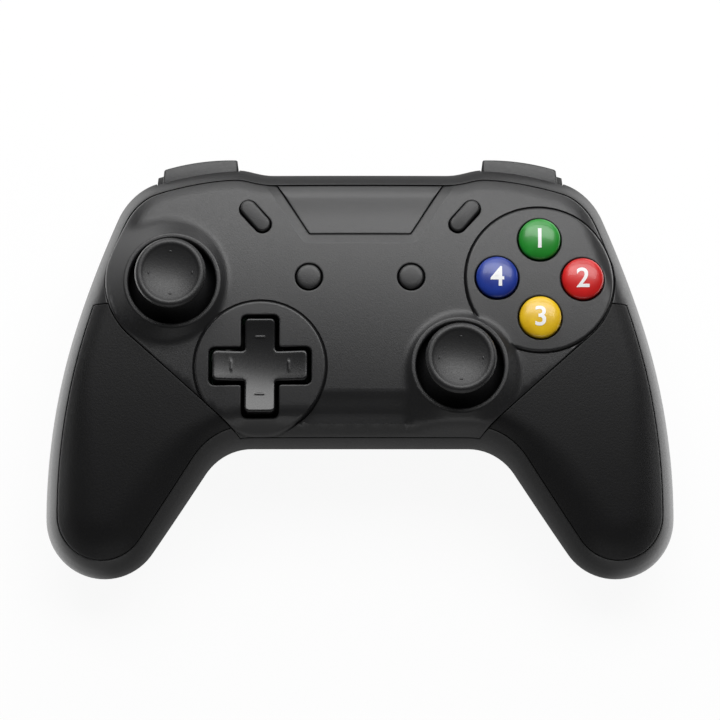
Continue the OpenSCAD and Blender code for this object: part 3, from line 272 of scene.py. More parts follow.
def upper(a, b, k):
    return 0.5 * (a + b + np.sqrt((a - b) ** 2 + k * k))


def bow(u):
    u = np.clip(u, 0, 1)
    return (1 - (1 - u) ** body["bowPower"]) ** (1 / body["bowPower"])


def edgeAt(p):
    rise = ease(-body["handleReach"], body["edgeTopY"], p[:, 1])
    return body["tipEdgeZ"] + (body["topEdgeZ"] - body["tipEdgeZ"]) * rise


def frontAt(p, d):
    crown = body["faceZ"] - (p[:, 1] - body["crownMidY"]) ** 2 / (2 * body["crownRy"])
    crown = crown - p[:, 0] ** 2 / (2 * body["crownRx"])
    inHandle = ease(*body["handleX"], np.abs(p[:, 0])) * ease(*body["handleDown"], -p[:, 1])
    width = body["frontRound"] + (body["handleRound"] - body["frontRound"]) * inHandle
    return edgeAt(p) + (crown - edgeAt(p)) * bow(d / width)


def rearAt(p, d):
    belly = np.hypot(p[:, 0] / body["bellyRx"], (p[:, 1] - body["bellyY"]) / body["bellyRy"])
    handle = ease(*body["heelX"], np.abs(p[:, 0])) * (1 - ease(*body["heelY"], p[:, 1]))
    bulge = np.maximum(1 - ease(body["bellyFlat"], 1, belly), handle)
    back = body["rearZ"] - (body["rearZ"] + body["restSwell"]) * bulge
    return edgeAt(p) - (edgeAt(p) - back) * bow(d / body["rearRound"])


outline = bodyOutline(body)
print("outline:", len(outline), "points")

# Seams and places on the face, in millimetres
seam = dict(
    gap=0.14, plateR=18.5, chinX=28.1, chinInset=1.2, topInset=4.7, sideInset=2.4, cornerIn=4, cornerR=0.1,
    gripInset=3.4, gripTopY=13)
face = dict(
    leftStick=(-45.9, 18), rightStick=(24.35, -3), cross=(-24.35, -3), cluster=(44, 18.9),
    buttonDx=10.5, buttonDy=9.8, menu=(12.5, 19.1),
    slant=(25.7, 34.7), slantAngle=49, slantHalf=2.65, slantR=1.95,
    panelTop=(21.4, 44.5), panelLow=(12.4, 30.2), panelCornerR=0.1)
buttons = {
    "green": (face["cluster"][0], face["cluster"][1] + face["buttonDy"]),
    "red": (face["cluster"][0] + face["buttonDx"], face["cluster"][1]),
    "yellow": (face["cluster"][0], face["cluster"][1] - face["buttonDy"]),
    "blue": (face["cluster"][0] - face["buttonDx"], face["cluster"][1]),
}


def circle(centre, r, step=0.7):
    count = max(24, int(2 * math.pi * r / step))
    return arc(centre, r, 0, 360 * (1 - 1 / count), count - 1)


def boxLoop(x0, x1, y0, y1):
    return resample(np.array([[x0, y0], [x1, y0], [x1, y1], [x0, y1]]), 1.0)


def hullOf(points, step):
    points = np.array(points)
    loop = points[convex_hull_2d([Vector(p) for p in points])]
    area = (loop[:, 0] * np.roll(loop[:, 1], -1) - np.roll(loop[:, 0], -1) * loop[:, 1]).sum()
    return resample(loop if area > 0 else loop[::-1], step)


# The face plate is where three loops overlap; grow widens all three
def plateLoops(grow):
    chin = inset(outline, seam["chinInset"] - grow)
    top = inset(outline, seam["sideInset"] - grow) + [0, seam["sideInset"] - seam["topInset"]]
    corners = []
    for s in (-1, 1):
        corners += list(circle((s * face["cluster"][0], face["cluster"][1]), seam["plateR"] + grow))
        corners += list(circle((s * seam["chinX"], -body["chinY"]), seam["cornerR"] + grow))
        corners += list(circle((s * (body["sideX"] - seam["cornerIn"]), body["topY"]), seam["cornerR"] + grow))
    return [chin, top, hullOf(corners, body["step"])]


def inPlate(points, grow=0.0):
    return np.all([isInside(points, loop) for loop in plateLoops(grow)], 0)


def nearestEdge(points, loops):
    return np.min([loopDistance(points, loop, 1.0) for loop in loops], 0)


def gripLoops(grow):
    low = seam["gap"] - grow
    high = seam["gripTopY"] + grow
    far = 90  # anywhere past the handle
    box = np.array([[low, -far], [far, -far], [far, high], [low, high]])
    return [inset(outline, seam["gripInset"] - grow), resample(box, 1.5)]


# One handle's grip; the other is its mirror image
def inGrip(points, grow=0.0):
    own = np.all([isInside(points, loop) for loop in gripLoops(grow)], 0)
    return own & ~isInside(points, plateLoops(seam["gap"] - grow)[2])


def mirrored(points):
    return np.stack([np.abs(points[:, 0]), points[:, 1]], 1)


def panelLoop(grow):
    spots = []
    r = face["panelCornerR"]
    for s in (-1, 1):
        for x, y in (face["panelTop"], face["panelLow"]):
            spots += list(circle((s * x, y), max(r, grow + r)))
    return hullOf(spots, 0.8)


def slantLoop(side, grow):
    ends = []
    for k in (-1, 1):
        x, y = np.array(face["slant"]) + k * face["slantHalf"] * heading(face["slantAngle"])
        ends += list(circle((side * x, y), face["slantR"] + grow))
    return hullOf(ends, 0.45)


def crossLoop(centre, length, width, corner):
    a, b, r = length / 2, width / 2, corner
    nookR = 0.5
    points = []
    for turn in range(4):
        part = np.vstack([
            arc((a - r, -b + r), r, -90, 0, 6), arc((a - r, b - r), r, 0, 90, 6),
            arc((b + nookR, b + nookR), nookR, 270, 180, 4)])
        c, s = heading(90 * turn)
        points.append(part @ np.array([[c, s], [-s, c]]))
    return resample(np.vstack(points), 0.5) + centre


# Lays a fine mesh over a region of the body: rings are loops that its edges follow,
# inside and height are functions of points; a pair is a loop and which of its points count
def drape(rings, inside, height, spacing, box):
    coords = []
    edges = []
    for ring in rings:
        ring, keep = ring if isinstance(ring, tuple) else (ring, True)
        ahead = np.roll(ring, -1, 0) - ring
        side = np.stack([-ahead[:, 1], ahead[:, 0]], 1) * 0.03 / np.linalg.norm(ahead, axis=1)[:, None]
        near = inside(ring + side) | inside(ring - side)
        near &= keep
        near = near | np.roll(near, 1) | np.roll(near, -1)
        index = np.cumsum(near) - 1 + len(coords)
        coords += [tuple(p) for p in ring[near]]
        pairs = np.flatnonzero(near & np.roll(near, -1))
        edges += [(int(index[i]), int(index[(i + 1) % len(ring)])) for i in pairs]
    tree = KDTree(len(coords))
    for i, p in enumerate(coords):
        tree.insert((p[0], p[1], 0), i)
    tree.balance()
    rows = []
    for k, y in enumerate(np.arange(box[1], box[3], spacing * 0.866)):
        x = np.arange(box[0] + (k % 2) * spacing / 2, box[2], spacing)
        rows.append(np.stack([x, np.full_like(x, y)], 1))
    grid = np.vstack(rows)
    grid = grid[inside(grid)]
    grid = [p for p in grid if tree.find((p[0], p[1], 0))[2] > spacing * 0.9]
    points = [Vector(p) for p in coords + [tuple(p) for p in grid]]
    found = delaunay_2d_cdt(points, edges, [], 0, 1e-4)
    flat = np.array([v[:] for v in found[0]])
    triangles = np.array(found[2])
    triangles = triangles[inside(flat[triangles].mean(1))]
    z = height(flat)
    mesh = bmesh.new()
    made = {}
    for i in np.unique(triangles):
        made[i] = mesh.verts.new((flat[i][0] * mm, flat[i][1] * mm, z[i] * mm))
    for t in triangles:
        mesh.faces.new([made[i] for i in t])
    return mesh


def roundedEdge(d, r):
    d = np.clip(d, 0, r)
    return r - np.sqrt(np.maximum(0, r * r - (r - d) ** 2))


# Turns a draped sheet into a solid plate by pushing a copy of it down
def thicken(mesh, depth):
    bmesh.ops.dissolve_degenerate(mesh, dist=1e-7, edges=mesh.edges)
    grown = bmesh.ops.extrude_face_region(mesh, geom=mesh.faces[:], use_keep_orig=True)
    low = [g for g in grown["geom"] if isinstance(g, bmesh.types.BMVert)]
    bmesh.ops.translate(mesh, verts=low, vec=(0, 0, -depth * mm))
    bmesh.ops.recalc_face_normals(mesh, faces=mesh.faces)


def toObject(mesh, name, finish, sharp=40):
    data = bpy.data.meshes.new(name)
    mesh.to_mesh(data)
    mesh.free()
    piece = bpy.data.objects.new(name, data)
    bpy.context.scene.collection.objects.link(piece)
    data.materials.append(finishes[finish])
    data.shade_smooth()
    data.set_sharp_from_angle(angle=math.radians(sharp))
    return piece


def place(piece, bodyName, slotName, *nodes):
    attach(piece, bodyName)
    if nodes:
        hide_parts(*nodes)
    return piece


def freeze(piece):
    graph = bpy.context.evaluated_depsgraph_get()
    data = bpy.data.meshes.new_from_object(piece.evaluated_get(graph))
    piece.modifiers.clear()
    piece.data = data


edgeSteps = (0, 0.07, 0.2, 0.38, 0.6)  # rings that follow each rounded edge


# Face plate
plate = dict(
    thick=2.2, edgeR=0.3, spacing=1.0, box=(-64, -21, 64, 45),
    holeR=10.75, buttonHoleR=5.4, menuHoleR=3.35, slantGap=0.25, slantLow=0.13, crossHole=(25.0, 9.2, 1.3),
    collarTopR=11.75, collarFootR=14.7, collarRise=2.4, collarZ=38.6,
    collarBlend=0.25, collarReach=7, collarFade=2.6,
    crossDiscR=16, buttonDiscR=18.1, discRise=0.55, discStep=0.3,
    grooveDeep=0.45, grooveHalf=0.3, grooveOut=0.25,
    frameWide=2.4, frameDeep=0.5, rollY=-8.5, shelfY=-14.7, shelfZ=33.9, shelfSlope=11)
collarRings = (11.5, 11.75, 12.0, 12.7, 13.5, 14.3, 15.0, 15.8)
discRings = (-0.6, -0.3, -0.15, 0.0, 0.12, 0.25, 0.4, 0.55, 0.9)
sticks = (face["leftStick"], face["rightStick"])
discs = ((face["cross"], plate["crossDiscR"]), (face["cluster"], plate["buttonDiscR"]))


def flipped(loop):
    return loop[::-1] * [-1, 1]


holes = [circle(centre, plate["holeR"]) for centre in sticks]
holes += [circle(p, plate["buttonHoleR"], 0.6) for p in buttons.values()]
holes += [circle((s * face["menu"][0], face["menu"][1]), plate["menuHoleR"], 0.5) for s in (-1, 1)]
slantHole = slantLoop(1, plate["slantGap"]) - [0, plate["slantLow"]]
holes += [slantHole, flipped(slantHole)]
holes += [crossLoop(face["cross"], *plate["crossHole"])]
panelHole = panelLoop(0)


def faceAt(points):
    d = np.maximum(signed(points, outline), 0)
    z = frontAt(points, d)
    shelf = plate["shelfZ"] + (points[:, 1] - plate["shelfY"]) * math.tan(math.radians(plate["shelfSlope"]))
    low = np.abs(points[:, 0]) < seam["chinX"]
    drop = ease(plate["rollY"], plate["shelfY"], points[:, 1]) * np.maximum(0, z - shelf)
    z = np.where(low, z - drop, z)
    step = plate["discStep"]
    for centre, r in discs:
        off = np.linalg.norm(points - centre, axis=1) - r
        raised = frontAt(points, d) + plate["discRise"]
        z = np.where(off < step, z + (raised - z) * ease(step, -step, off), z)
        z = z - plate["grooveDeep"] * ease(plate["grooveHalf"], 0, np.abs(off - plate["grooveOut"]))
    bevel = signed(points, panelLoop(plate["frameWide"]))
    z = z - plate["frameDeep"] * np.clip(bevel / plate["frameWide"], 0, 1)
    slope = plate["collarRise"] / (plate["collarFootR"] - plate["collarTopR"])
    for centre in sticks:
        r = np.linalg.norm(points - centre, axis=1)
        cone = plate["collarZ"] - slope * np.maximum(r - plate["collarTopR"], 0)
        near = r < plate["collarFootR"] + plate["collarReach"]
        over = np.where(near, upper(z, cone, plate["collarBlend"]) - z, 0)
        z = z + over * ease(0, plate["collarFade"], points[:, 1] + body["chinY"] - seam["chinInset"])
    return z


def onPlate(points):
    good = inPlate(points)
    for hole in holes + [panelHole]:
        good &= ~isInside(points, hole)
    return good


def plateHeight(points):
    edge = nearestEdge(points, plateLoops(0) + holes + [panelHole])
    return faceAt(points) - roundedEdge(edge, plate["edgeR"])


rings = []
for s in edgeSteps:
    rings += plateLoops(-s)
    rings += [inset(hole, -s) for hole in holes + [panelHole]]
for centre in sticks:
    rings += [circle(centre, r, 0.9) for r in collarRings]
for centre, r in discs:
    rings += [circle(centre, r + k, 0.6) for k in discRings]
rings += [panelLoop(plate["frameWide"] + k) for k in (-0.15, 0.0, 0.15)]
for y in np.linspace(plate["shelfY"] - 0.4, plate["rollY"], 9):
    rings.append(boxLoop(-seam["chinX"] + 0.1, seam["chinX"] - 0.1, y - 0.02, y + 0.02))
sheet = drape(rings, onPlate, plateHeight, plate["spacing"], plate["box"])
thicken(sheet, plate["thick"])
facePlate = place(toObject(sheet, "face_plate", "shell"), "case", "shell_black", "front_shell")
print("face plate:", len(facePlate.data.polygons), "faces")

# Centre panel
panel = dict(
    sinkLow=0.75, sinkTop=0.1, sinkY=(44, 34), gap=0.1, thick=1.6, edgeR=0.25,
    spacing=1.2, box=(-24, 29, 24, 46))
panelEdges = [inset(panelHole, panel["gap"]), plateLoops(-panel["gap"])[1]]


def onPanel(points):
    return np.all([isInside(points, loop) for loop in panelEdges], 0)


def panelHeight(points):
    edge = nearestEdge(points, panelEdges)
    d = np.maximum(signed(points, outline), 0)
    sink = panel["sinkTop"] + (panel["sinkLow"] - panel["sinkTop"]) * ease(*panel["sinkY"], points[:, 1])
    return frontAt(points, d) - sink - roundedEdge(edge, panel["edgeR"])


rings = []
for s in edgeSteps:
    rings += [inset(panelHole, panel["gap"] + s), plateLoops(-panel["gap"] - s)[1]]
sheet = drape(rings, onPanel, panelHeight, panel["spacing"], panel["box"])
thicken(sheet, panel["thick"])
place(toObject(sheet, "center_panel_cover", "panel"), "case", "panel_black", "center_panel")
print("centre panel made")

# Grips on the handles
grip = dict(thick=2.2, edgeR=0.16, spacing=1.2, box=(0, -50, 78, 14))


def gripHeight(points):
    d = np.maximum(signed(points, outline), 0)
    edge = nearestEdge(points, gripLoops(0) + [plateLoops(seam["gap"])[2]])
    return frontAt(points, d) - roundedEdge(edge, grip["edgeR"])


rings = []
for s in edgeSteps:
    rings += gripLoops(-s) + [plateLoops(seam["gap"] + s)[2]]
gripSheet = drape(rings, inGrip, gripHeight, grip["spacing"], grip["box"])
thicken(gripSheet, grip["thick"])
gripCopy = gripSheet.copy()
bmesh.ops.scale(gripCopy, vec=(-1, 1, 1), verts=gripCopy.verts)
bmesh.ops.recalc_face_normals(gripCopy, faces=gripCopy.faces)
rightGrip = place(toObject(gripSheet, "right_grip_cover", "grip"), "case", "grip_black", "right_grip")
place(toObject(gripCopy, "left_grip_cover", "grip"), "case", "grip_black", "left_grip")
print("grips:", len(rightGrip.data.polygons), "faces each")

# Rear shell: a rim in front of the widest line and a back behind it, joined along the outline
rear = dict(
    edgeR=0.2, lipReach=2.0, lipDeep=1, frontSpacing=1.3, backSpacing=1.7, wall=1.8, restK=0.5,
    smoothPasses=12, smoothDepth=7, box=(-78, -52, 78, 49))
shoulder = dict(
    triggerX=(28.4, 46.6), triggerY=34.6, bumperX=(29.9, 50.6), bumperY=38, bumperZ=(18.5, 29.7), farY=54,
    crownDrop=4.2)
socket = dict(halfWide=4.87, halfHigh=2.03, z=23.13, crownDrop=3)
well = dict(
    r=2.8, boreR=1.2, deep=3.2, lowest=8,
    spots=[(22.5, 22), (-22.5, 22), (0, -11.5), (63, -41), (-63, -41)])
rimSteps = (0.04, 0.15, 0.32, 0.55)
lipSteps = (*edgeSteps, 1.0, 1.5, 2.1)
sideSteps = (0.04, 0.15, 0.35, 0.65, 1.05, 1.6, 2.3, 3.2, 4.4, 6.0)


# How far in from the outline a bowed wall reaches the height z
def reachOf(z, far, width):
    part = np.clip((z - body["topEdgeZ"]) / (far - body["topEdgeZ"]), 0, 1) ** body["bowPower"]
    return width * (1 - (1 - part) ** (1 / body["bowPower"]))


# The charging socket's slot, as the front wall (sign 1) or the back wall (sign -1) sees it
def socketLoop(sign, far, width):
    half, out = socket["halfWide"], body["topY"] + 1
    x = np.linspace(-half, half, 29)
    over = np.maximum(np.abs(x) - (half - socket["halfHigh"]), 0)
    high = np.sqrt(np.maximum(0, socket["halfHigh"] ** 2 - over ** 2))
    edge = np.stack([x, body["topY"] - reachOf(socket["z"] + sign * high, far, width)], 1)
    return np.vstack([edge, [[half, out], [-half, out]]])


# crownDrop is how much lower than its middle the face lies over the bumpers and over the socket
shoulderCrown = body["faceZ"] - shoulder["crownDrop"]
frontLip = inset(outline, reachOf(shoulder["bumperZ"][1], shoulderCrown, body["frontRound"]))
backLip = inset(outline, reachOf(shoulder["bumperZ"][0], body["rearZ"], body["rearRound"]))
frontSlot = socketLoop(1, body["faceZ"] - socket["crownDrop"], body["frontRound"])
backSlot = socketLoop(-1, body["rearZ"], body["rearRound"])
bumperBox = boxLoop(*shoulder["bumperX"], shoulder["bumperY"], shoulder["farY"])
triggerBox = boxLoop(*shoulder["triggerX"], shoulder["triggerY"], shoulder["farY"])
wellRings = [circle(spot, well["r"], 0.6) for spot in well["spots"]]


def onRim(points):
    twin = mirrored(points)
    good = isInside(points, outline) & ~inPlate(points, seam["gap"]) & ~inGrip(twin, seam["gap"])
    good &= ~(isInside(twin, bumperBox) & ~isInside(points, frontLip))
    return good & ~isInside(points, frontSlot)


def onBack(points):
    twin = mirrored(points)
    good = isInside(points, outline) & ~isInside(twin, triggerBox) & ~isInside(points, backSlot)
    good &= ~(isInside(twin, bumperBox) & ~isInside(points, backLip))
    for ring in wellRings:
        good &= ~isInside(points, ring)
    return good


def rimHeight(points):
    return frontAt(points, np.maximum(signed(points, outline), 0))


# How far a point of the rim lies from the face plate's or the grips' opening
def seamDistance(points, reach):
    twin = mirrored(points)
    gap = seam["gap"]
    toPlate = np.max([-signed(points, loop) for loop in plateLoops(gap)], 0)
    toGrip = np.max([-signed(twin, loop) for loop in gripLoops(gap)] + [signed(twin, plateLoops(0)[2])], 0)
    return np.clip(np.minimum(toPlate, toGrip), 0, reach)


def backHeight(points):
    return upper(rearAt(points, np.maximum(signed(points, outline), 0)), 0 * points[:, 0], rear["restK"])


rings = [outline, frontLip, frontSlot, bumperBox, flipped(bumperBox)]
rings += [inset(outline, s) for s in rimSteps]
for s in lipSteps:
    side, box = gripLoops(seam["gap"] + s)
    for loop in plateLoops(seam["gap"] + s) + [side, box, flipped(box), plateLoops(-s)[2]]:
        rings.append((loop, seamDistance(loop, 5.0) < s + 0.1))
rim = drape(rings, onRim, rimHeight, rear["frontSpacing"], rear["box"])
rings = [outline, backLip, backSlot, bumperBox, flipped(bumperBox), triggerBox, flipped(triggerBox)]
rings += wellRings + [inset(outline, s) for s in sideSteps]
back = drape(rings, onBack, backHeight, rear["backSpacing"], rear["box"])
bmesh.ops.reverse_faces(back, faces=back.faces)
flat = np.array([v.co.xy for v in back.verts]) / mm
depth = signed(flat, outline)
deep = [v for v, d in zip(back.verts[:], depth) if d > rear["smoothDepth"] and not v.is_boundary]
for k in range(rear["smoothPasses"]):
    bmesh.ops.smooth_vert(back, verts=deep, factor=0.5, use_axis_z=True)

# Screw wells: the rim of each hole is drawn in to the seat of the screw's head
for spot in well["spots"]:
    centre = Vector((spot[0], spot[1])) * mm
    here = np.array([spot], float)
    seat = max(well["lowest"], rearAt(here, signed(here, outline))[0] + well["deep"])
    close = (well["r"] + 0.1) * mm
    edges = [e for e in back.edges if e.is_boundary and (e.verts[0].co.xy - centre).length < close]
    for r in (well["r"], well["boreR"]):
        grown = bmesh.ops.extrude_edge_only(back, edges=edges)["geom"]
        edges = [g for g in grown if isinstance(g, bmesh.types.BMEdge)]
        for v in [g for g in grown if isinstance(g, bmesh.types.BMVert)]:
            v.co.xy = centre + (v.co.xy - centre).normalized() * r * mm
            v.co.z = seat * mm
holder = bpy.data.meshes.new("rear_holder")
back.to_mesh(holder)
back.free()
rim.from_mesh(holder)
bmesh.ops.remove_doubles(rim, verts=rim.verts, dist=0.002 * mm)
rearShell = toObject(rim, "rear_shell_cover", "shell", 75)
count = len(rearShell.data.vertices)
solid = rearShell.modifiers.new("wall", "SOLIDIFY")
solid.thickness = rear["wall"] * mm
solid.offset = -1
freeze(rearShell)

# The outer skin comes first among the points and the inner skin follows in the same order.
# Beside the seams the lip is rounded and the wall runs straight down.
spots = np.empty(len(rearShell.data.vertices) * 3)
rearShell.data.vertices.foreach_get("co", spots)
spots = spots.reshape(-1, 3) / mm
outer, inner = spots[:count], spots[count:2 * count]
onFront = outer[:, 2] > edgeAt(outer[:, :2]) + 0.01
lip = np.where(onFront, seamDistance(outer[:, :2], rear["lipReach"]), rear["lipReach"])
inner[:, :2] = outer[:, :2] + (inner[:, :2] - outer[:, :2]) * (lip / rear["lipReach"])[:, None]
outer[:, 2] -= roundedEdge(lip, rear["edgeR"])
lowered = np.minimum(inner[:, 2], outer[:, 2] - rear["lipDeep"])
inner[:, 2] = np.where(lip < rear["lipReach"], lowered, inner[:, 2])
rearShell.data.vertices.foreach_set("co", spots.ravel() * mm)
rearShell.data.update()
rearShell.data.set_sharp_from_angle(angle=math.radians(60))
place(rearShell, "case", "shell_black", "rear_shell")
print("rear shell:", len(rearShell.data.polygons), "faces")


# A turned piece: the profile runs from the axis round to the axis again, in radius and height
def turned(centre, profile, steps=96):
    mesh = bmesh.new()
    row = [mesh.verts.new(((centre[0] + r) * mm, centre[1] * mm, z * mm)) for r, z in profile]
    for a, b in zip(row, row[1:]):
        mesh.edges.new((a, b))
    axis = (centre[0] * mm, centre[1] * mm, 0)
    bmesh.ops.spin(mesh, geom=mesh.verts[:] + mesh.edges[:], cent=axis, axis=(0, 0, 1), angle=2 * math.pi,
                   steps=steps, use_merge=True)
    bmesh.ops.remove_doubles(mesh, verts=mesh.verts, dist=0.001 * mm)
    bmesh.ops.recalc_face_normals(mesh, faces=mesh.faces)
    return mesh


# A fillet in a profile, from one direction round to another
def fillet(r, z, radius, a0, a1, count=6):
    return [tuple(p) for p in arc((r, z), radius, a0, a1, count)]


def join(mesh, other):
    data = bpy.data.meshes.new("joined")
    other.to_mesh(data)
    other.free()
    mesh.from_mesh(data)
    bpy.data.meshes.remove(data)


# The part of a solid that lies behind a plane, as a closed mesh
def solidBehind(node, point, normal):
    mesh = bmesh.new()
    mesh.from_mesh(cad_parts[node].data)
    bmesh.ops.remove_doubles(mesh, verts=mesh.verts, dist=0.001 * mm)
    geom = mesh.verts[:] + mesh.edges[:] + mesh.faces[:]
    cut = bmesh.ops.bisect_plane(
        mesh, geom=geom, plane_co=Vector(point) * mm, plane_no=normal, clear_outer=True)
    rim = [g for g in cut["geom_cut"] if isinstance(g, bmesh.types.BMEdge)]
    bmesh.ops.contextual_create(mesh, geom=rim)
    return mesh


def crownAt(p):
    return frontAt(np.array([p], float), np.array([99.0]))[0]


# Thumb sticks: shaft, dome, waisted neck and a dished cap with four small pips
stick = dict(
    pivotZ=27, capR=8.65, capH=21.15, rimR=1.15, rimTurn=(-70, 130), domeR=11.8, domeWall=1.3, skirt=20,
    neckR=3.7, waist=((0, 11.3), (-0.5, 13.4), (0.1, 15.6), (2.2, 17.9)), shaftR=1.6, shaftDrop=3.7,
    dish=1.4, pipR=5.3, pipSize=(0.9, 0.45, 0.28))
rimSpot = np.array([stick["capR"], stick["capH"]]) - stick["rimR"]
dishR, dishTop = rimSpot + stick["rimR"] * heading(stick["rimTurn"][1])
domeIn = stick["domeR"] - stick["domeWall"]


def dishHeight(r):
    return dishTop - stick["dish"] * (1 - (r / dishR) ** 2)


def stickProfile():
    points = [(0, -stick["shaftDrop"]), (stick["shaftR"], -stick["shaftDrop"])]
    shaftTurn = math.degrees(math.acos(stick["shaftR"] / domeIn))
    neckTurn = math.degrees(math.acos(stick["neckR"] / stick["domeR"]))
    points += fillet(0, 0, domeIn, shaftTurn, stick["skirt"], 16)
    points += fillet(0, 0, stick["domeR"], stick["skirt"], neckTurn, 24)
    waist = [(stick["neckR"] + r, z) for r, z in stick["waist"]]
    points += [tuple(p) for p in bezier(waist, 12)]
    points += fillet(*rimSpot, stick["rimR"], *stick["rimTurn"], 20)
    points += [(r, dishHeight(r)) for r in np.linspace(dishR, 0, 16)[1:]]
    return [(r, stick["pivotZ"] + z) for r, z in points]


for side, centre in zip(("left", "right"), sticks):
    mesh = turned(centre, stickProfile())
    for turn in range(4):
        pip = bmesh.new()
        bmesh.ops.create_uvsphere(pip, u_segments=16, v_segments=8, radius=0.5 * mm)
        bmesh.ops.scale(pip, vec=stick["pipSize"], verts=pip.verts)
        spot = Vector((0, -stick["pipR"], stick["pivotZ"] + dishHeight(stick["pipR"]))) * mm
        bmesh.ops.translate(pip, vec=spot, verts=pip.verts)
        quarter = Matrix.Rotation(turn * math.pi / 2, 3, "Z")
        bmesh.ops.rotate(pip, cent=(0, 0, 0), matrix=quarter, verts=pip.verts)
        bmesh.ops.translate(pip, vec=Vector((centre[0], centre[1], 0)) * mm, verts=pip.verts)
        join(mesh, pip)
    piece = toObject(mesh, side + "_stick_cap", "rubber")
    place(piece, side + "_stick", "stick_rubber", side + "_thumb_stick")
print("sticks turned")

# Face buttons: plunger, flange, and a glossy domed cap with a printed number
button = dict(
    r=5.1, rise=2.9, dome=1.6, plungerR=3, plungerZ=26.05, flangeZ=29.5, flangeT=1.2, lip=1.2,
    numberHigh=5.0, numberShare=0.73, numberBold=0.09, inkLift=0.01, ink=0.05)


def domeTop(p, r):
    bulge = np.sqrt(np.maximum(0, 1 - (r / button["r"]) ** 2))
    return crownAt(p) + button["rise"] - button["dome"] * (1 - bulge)


# The hidden foot of a cap's profile: a plunger and a flange that stops it under the plate
def capFoot(plungerR, foot, r):
    low, high = button["plungerZ"], foot + button["flangeT"]
    lip = r + button["lip"]
    return [(0, low), (plungerR, low), (plungerR, foot), (lip, foot), (lip, high), (r, high)]


def buttonMesh(p):
    points = capFoot(button["plungerR"], button["flangeZ"], button["r"])
    turns = np.radians(np.linspace(0, 90, 25))
    low = crownAt(p) + button["rise"] - button["dome"]
    points += [(button["r"] * math.cos(a), low + button["dome"] * math.sin(a)) for a in turns]
    points[-1] = (0, points[-1][1])
    return turned(p, points)


# A printed number lies on the dome as a thin film of ink
def numberMesh(p, text):
    data = bpy.data.curves.new("number", "FONT")
    data.body = text
    data.align_x = "CENTER"
    data.size = button["numberHigh"] * mm / button["numberShare"]
    data.offset = button["numberBold"] * mm
    holder = bpy.data.objects.new("number", data)
    bpy.context.scene.collection.objects.link(holder)
    flat = bpy.data.meshes.new_from_object(holder.evaluated_get(bpy.context.evaluated_depsgraph_get()))
    bpy.data.objects.remove(holder)
    mesh = bmesh.new()
    mesh.from_mesh(flat)
    bmesh.ops.remove_doubles(mesh, verts=mesh.verts, dist=0.001 * mm)
    bmesh.ops.triangulate(mesh, faces=mesh.faces)
    for k in range(3):
        long = [e for e in mesh.edges if e.calc_length() > 0.5 * mm]
        bmesh.ops.subdivide_edges(mesh, edges=long, cuts=1)
        bmesh.ops.triangulate(mesh, faces=mesh.faces)
    xs = [v.co.x for v in mesh.verts]
    ys = [v.co.y for v in mesh.verts]
    middle = Vector(((min(xs) + max(xs)) / 2, (min(ys) + max(ys)) / 2, 0))
    for v in mesh.verts:
        v.co -= middle
        v.co.z = domeTop(p, v.co.xy.length / mm) * mm + button["inkLift"] * mm
        v.co += Vector((p[0], p[1], 0)) * mm
    grown = bmesh.ops.extrude_face_region(mesh, geom=mesh.faces[:], use_keep_orig=True)["geom"]
    tops = [g for g in grown if isinstance(g, bmesh.types.BMVert)]
    bmesh.ops.translate(mesh, verts=tops, vec=(0, 0, button["ink"] * mm))
    bmesh.ops.recalc_face_normals(mesh, faces=mesh.faces)
    return mesh


for number, (colour, spot) in enumerate(buttons.items(), 1):
    name, slotName = colour + "_button", "button_" + colour
    place(toObject(buttonMesh(spot), colour + "_cap", colour, 50), name, slotName, name)
    place(toObject(numberMesh(spot, str(number)), colour + "_number", "white"), name, slotName)
print("face buttons turned")

# Round menu buttons
small = dict(
    menuR=3.05, rise=0.8, edgeR=0.55, crown=0.15, flatIn=0.8, plungerR=1.7, flangeZ=30.5, slantFoot=0.6)
for side, s in (("left", -1), ("right", 1)):
    spot = (s * face["menu"][0], face["menu"][1])
    r, top = small["menuR"], crownAt(spot) + small["rise"]
    points = capFoot(small["plungerR"], small["flangeZ"], r)
    points += fillet(r - small["edgeR"], top - small["edgeR"] - small["crown"], small["edgeR"], 0, 85, 8)
    points += [(k, top - small["crown"] * (k / r) ** 2) for k in np.linspace(r - small["flatIn"], 0, 6)]
    name = side + "_menu_button"
    place(toObject(turned(spot, points), side + "_menu_cap", "shell"), name, "button_black", name)


# A prism from a flat loop between two heights, its upper or all its sharp edges rounded
def prism(loop, low, high, edgeR, bothEnds=False):
    mesh = bmesh.new()
    base = mesh.faces.new([mesh.verts.new((p[0] * mm, p[1] * mm, low * mm)) for p in loop])
    grown = bmesh.ops.extrude_face_region(mesh, geom=[base], use_keep_orig=True)["geom"]
    tops = [g for g in grown if isinstance(g, bmesh.types.BMVert)]
    bmesh.ops.translate(mesh, vec=(0, 0, (high - low) * mm), verts=tops)
    bmesh.ops.recalc_face_normals(mesh, faces=mesh.faces)
    sharp = [e for e in mesh.edges if e.calc_face_angle(0) > 0.6]
    if not bothEnds:
        sharp = [e for e in sharp if min(v.co.z for v in e.verts) > (low + high) / 2 * mm]
    bmesh.ops.bevel(
        mesh, geom=sharp, offset=edgeR * mm, offset_type="OFFSET", affect="EDGES", segments=5, profile=0.5,
        material=-1, clamp_overlap=True)
    return mesh


def otherSide(mesh):
    bmesh.ops.scale(mesh, vec=(-1, 1, 1), verts=mesh.verts)
    bmesh.ops.recalc_face_normals(mesh, faces=mesh.faces)
    return mesh


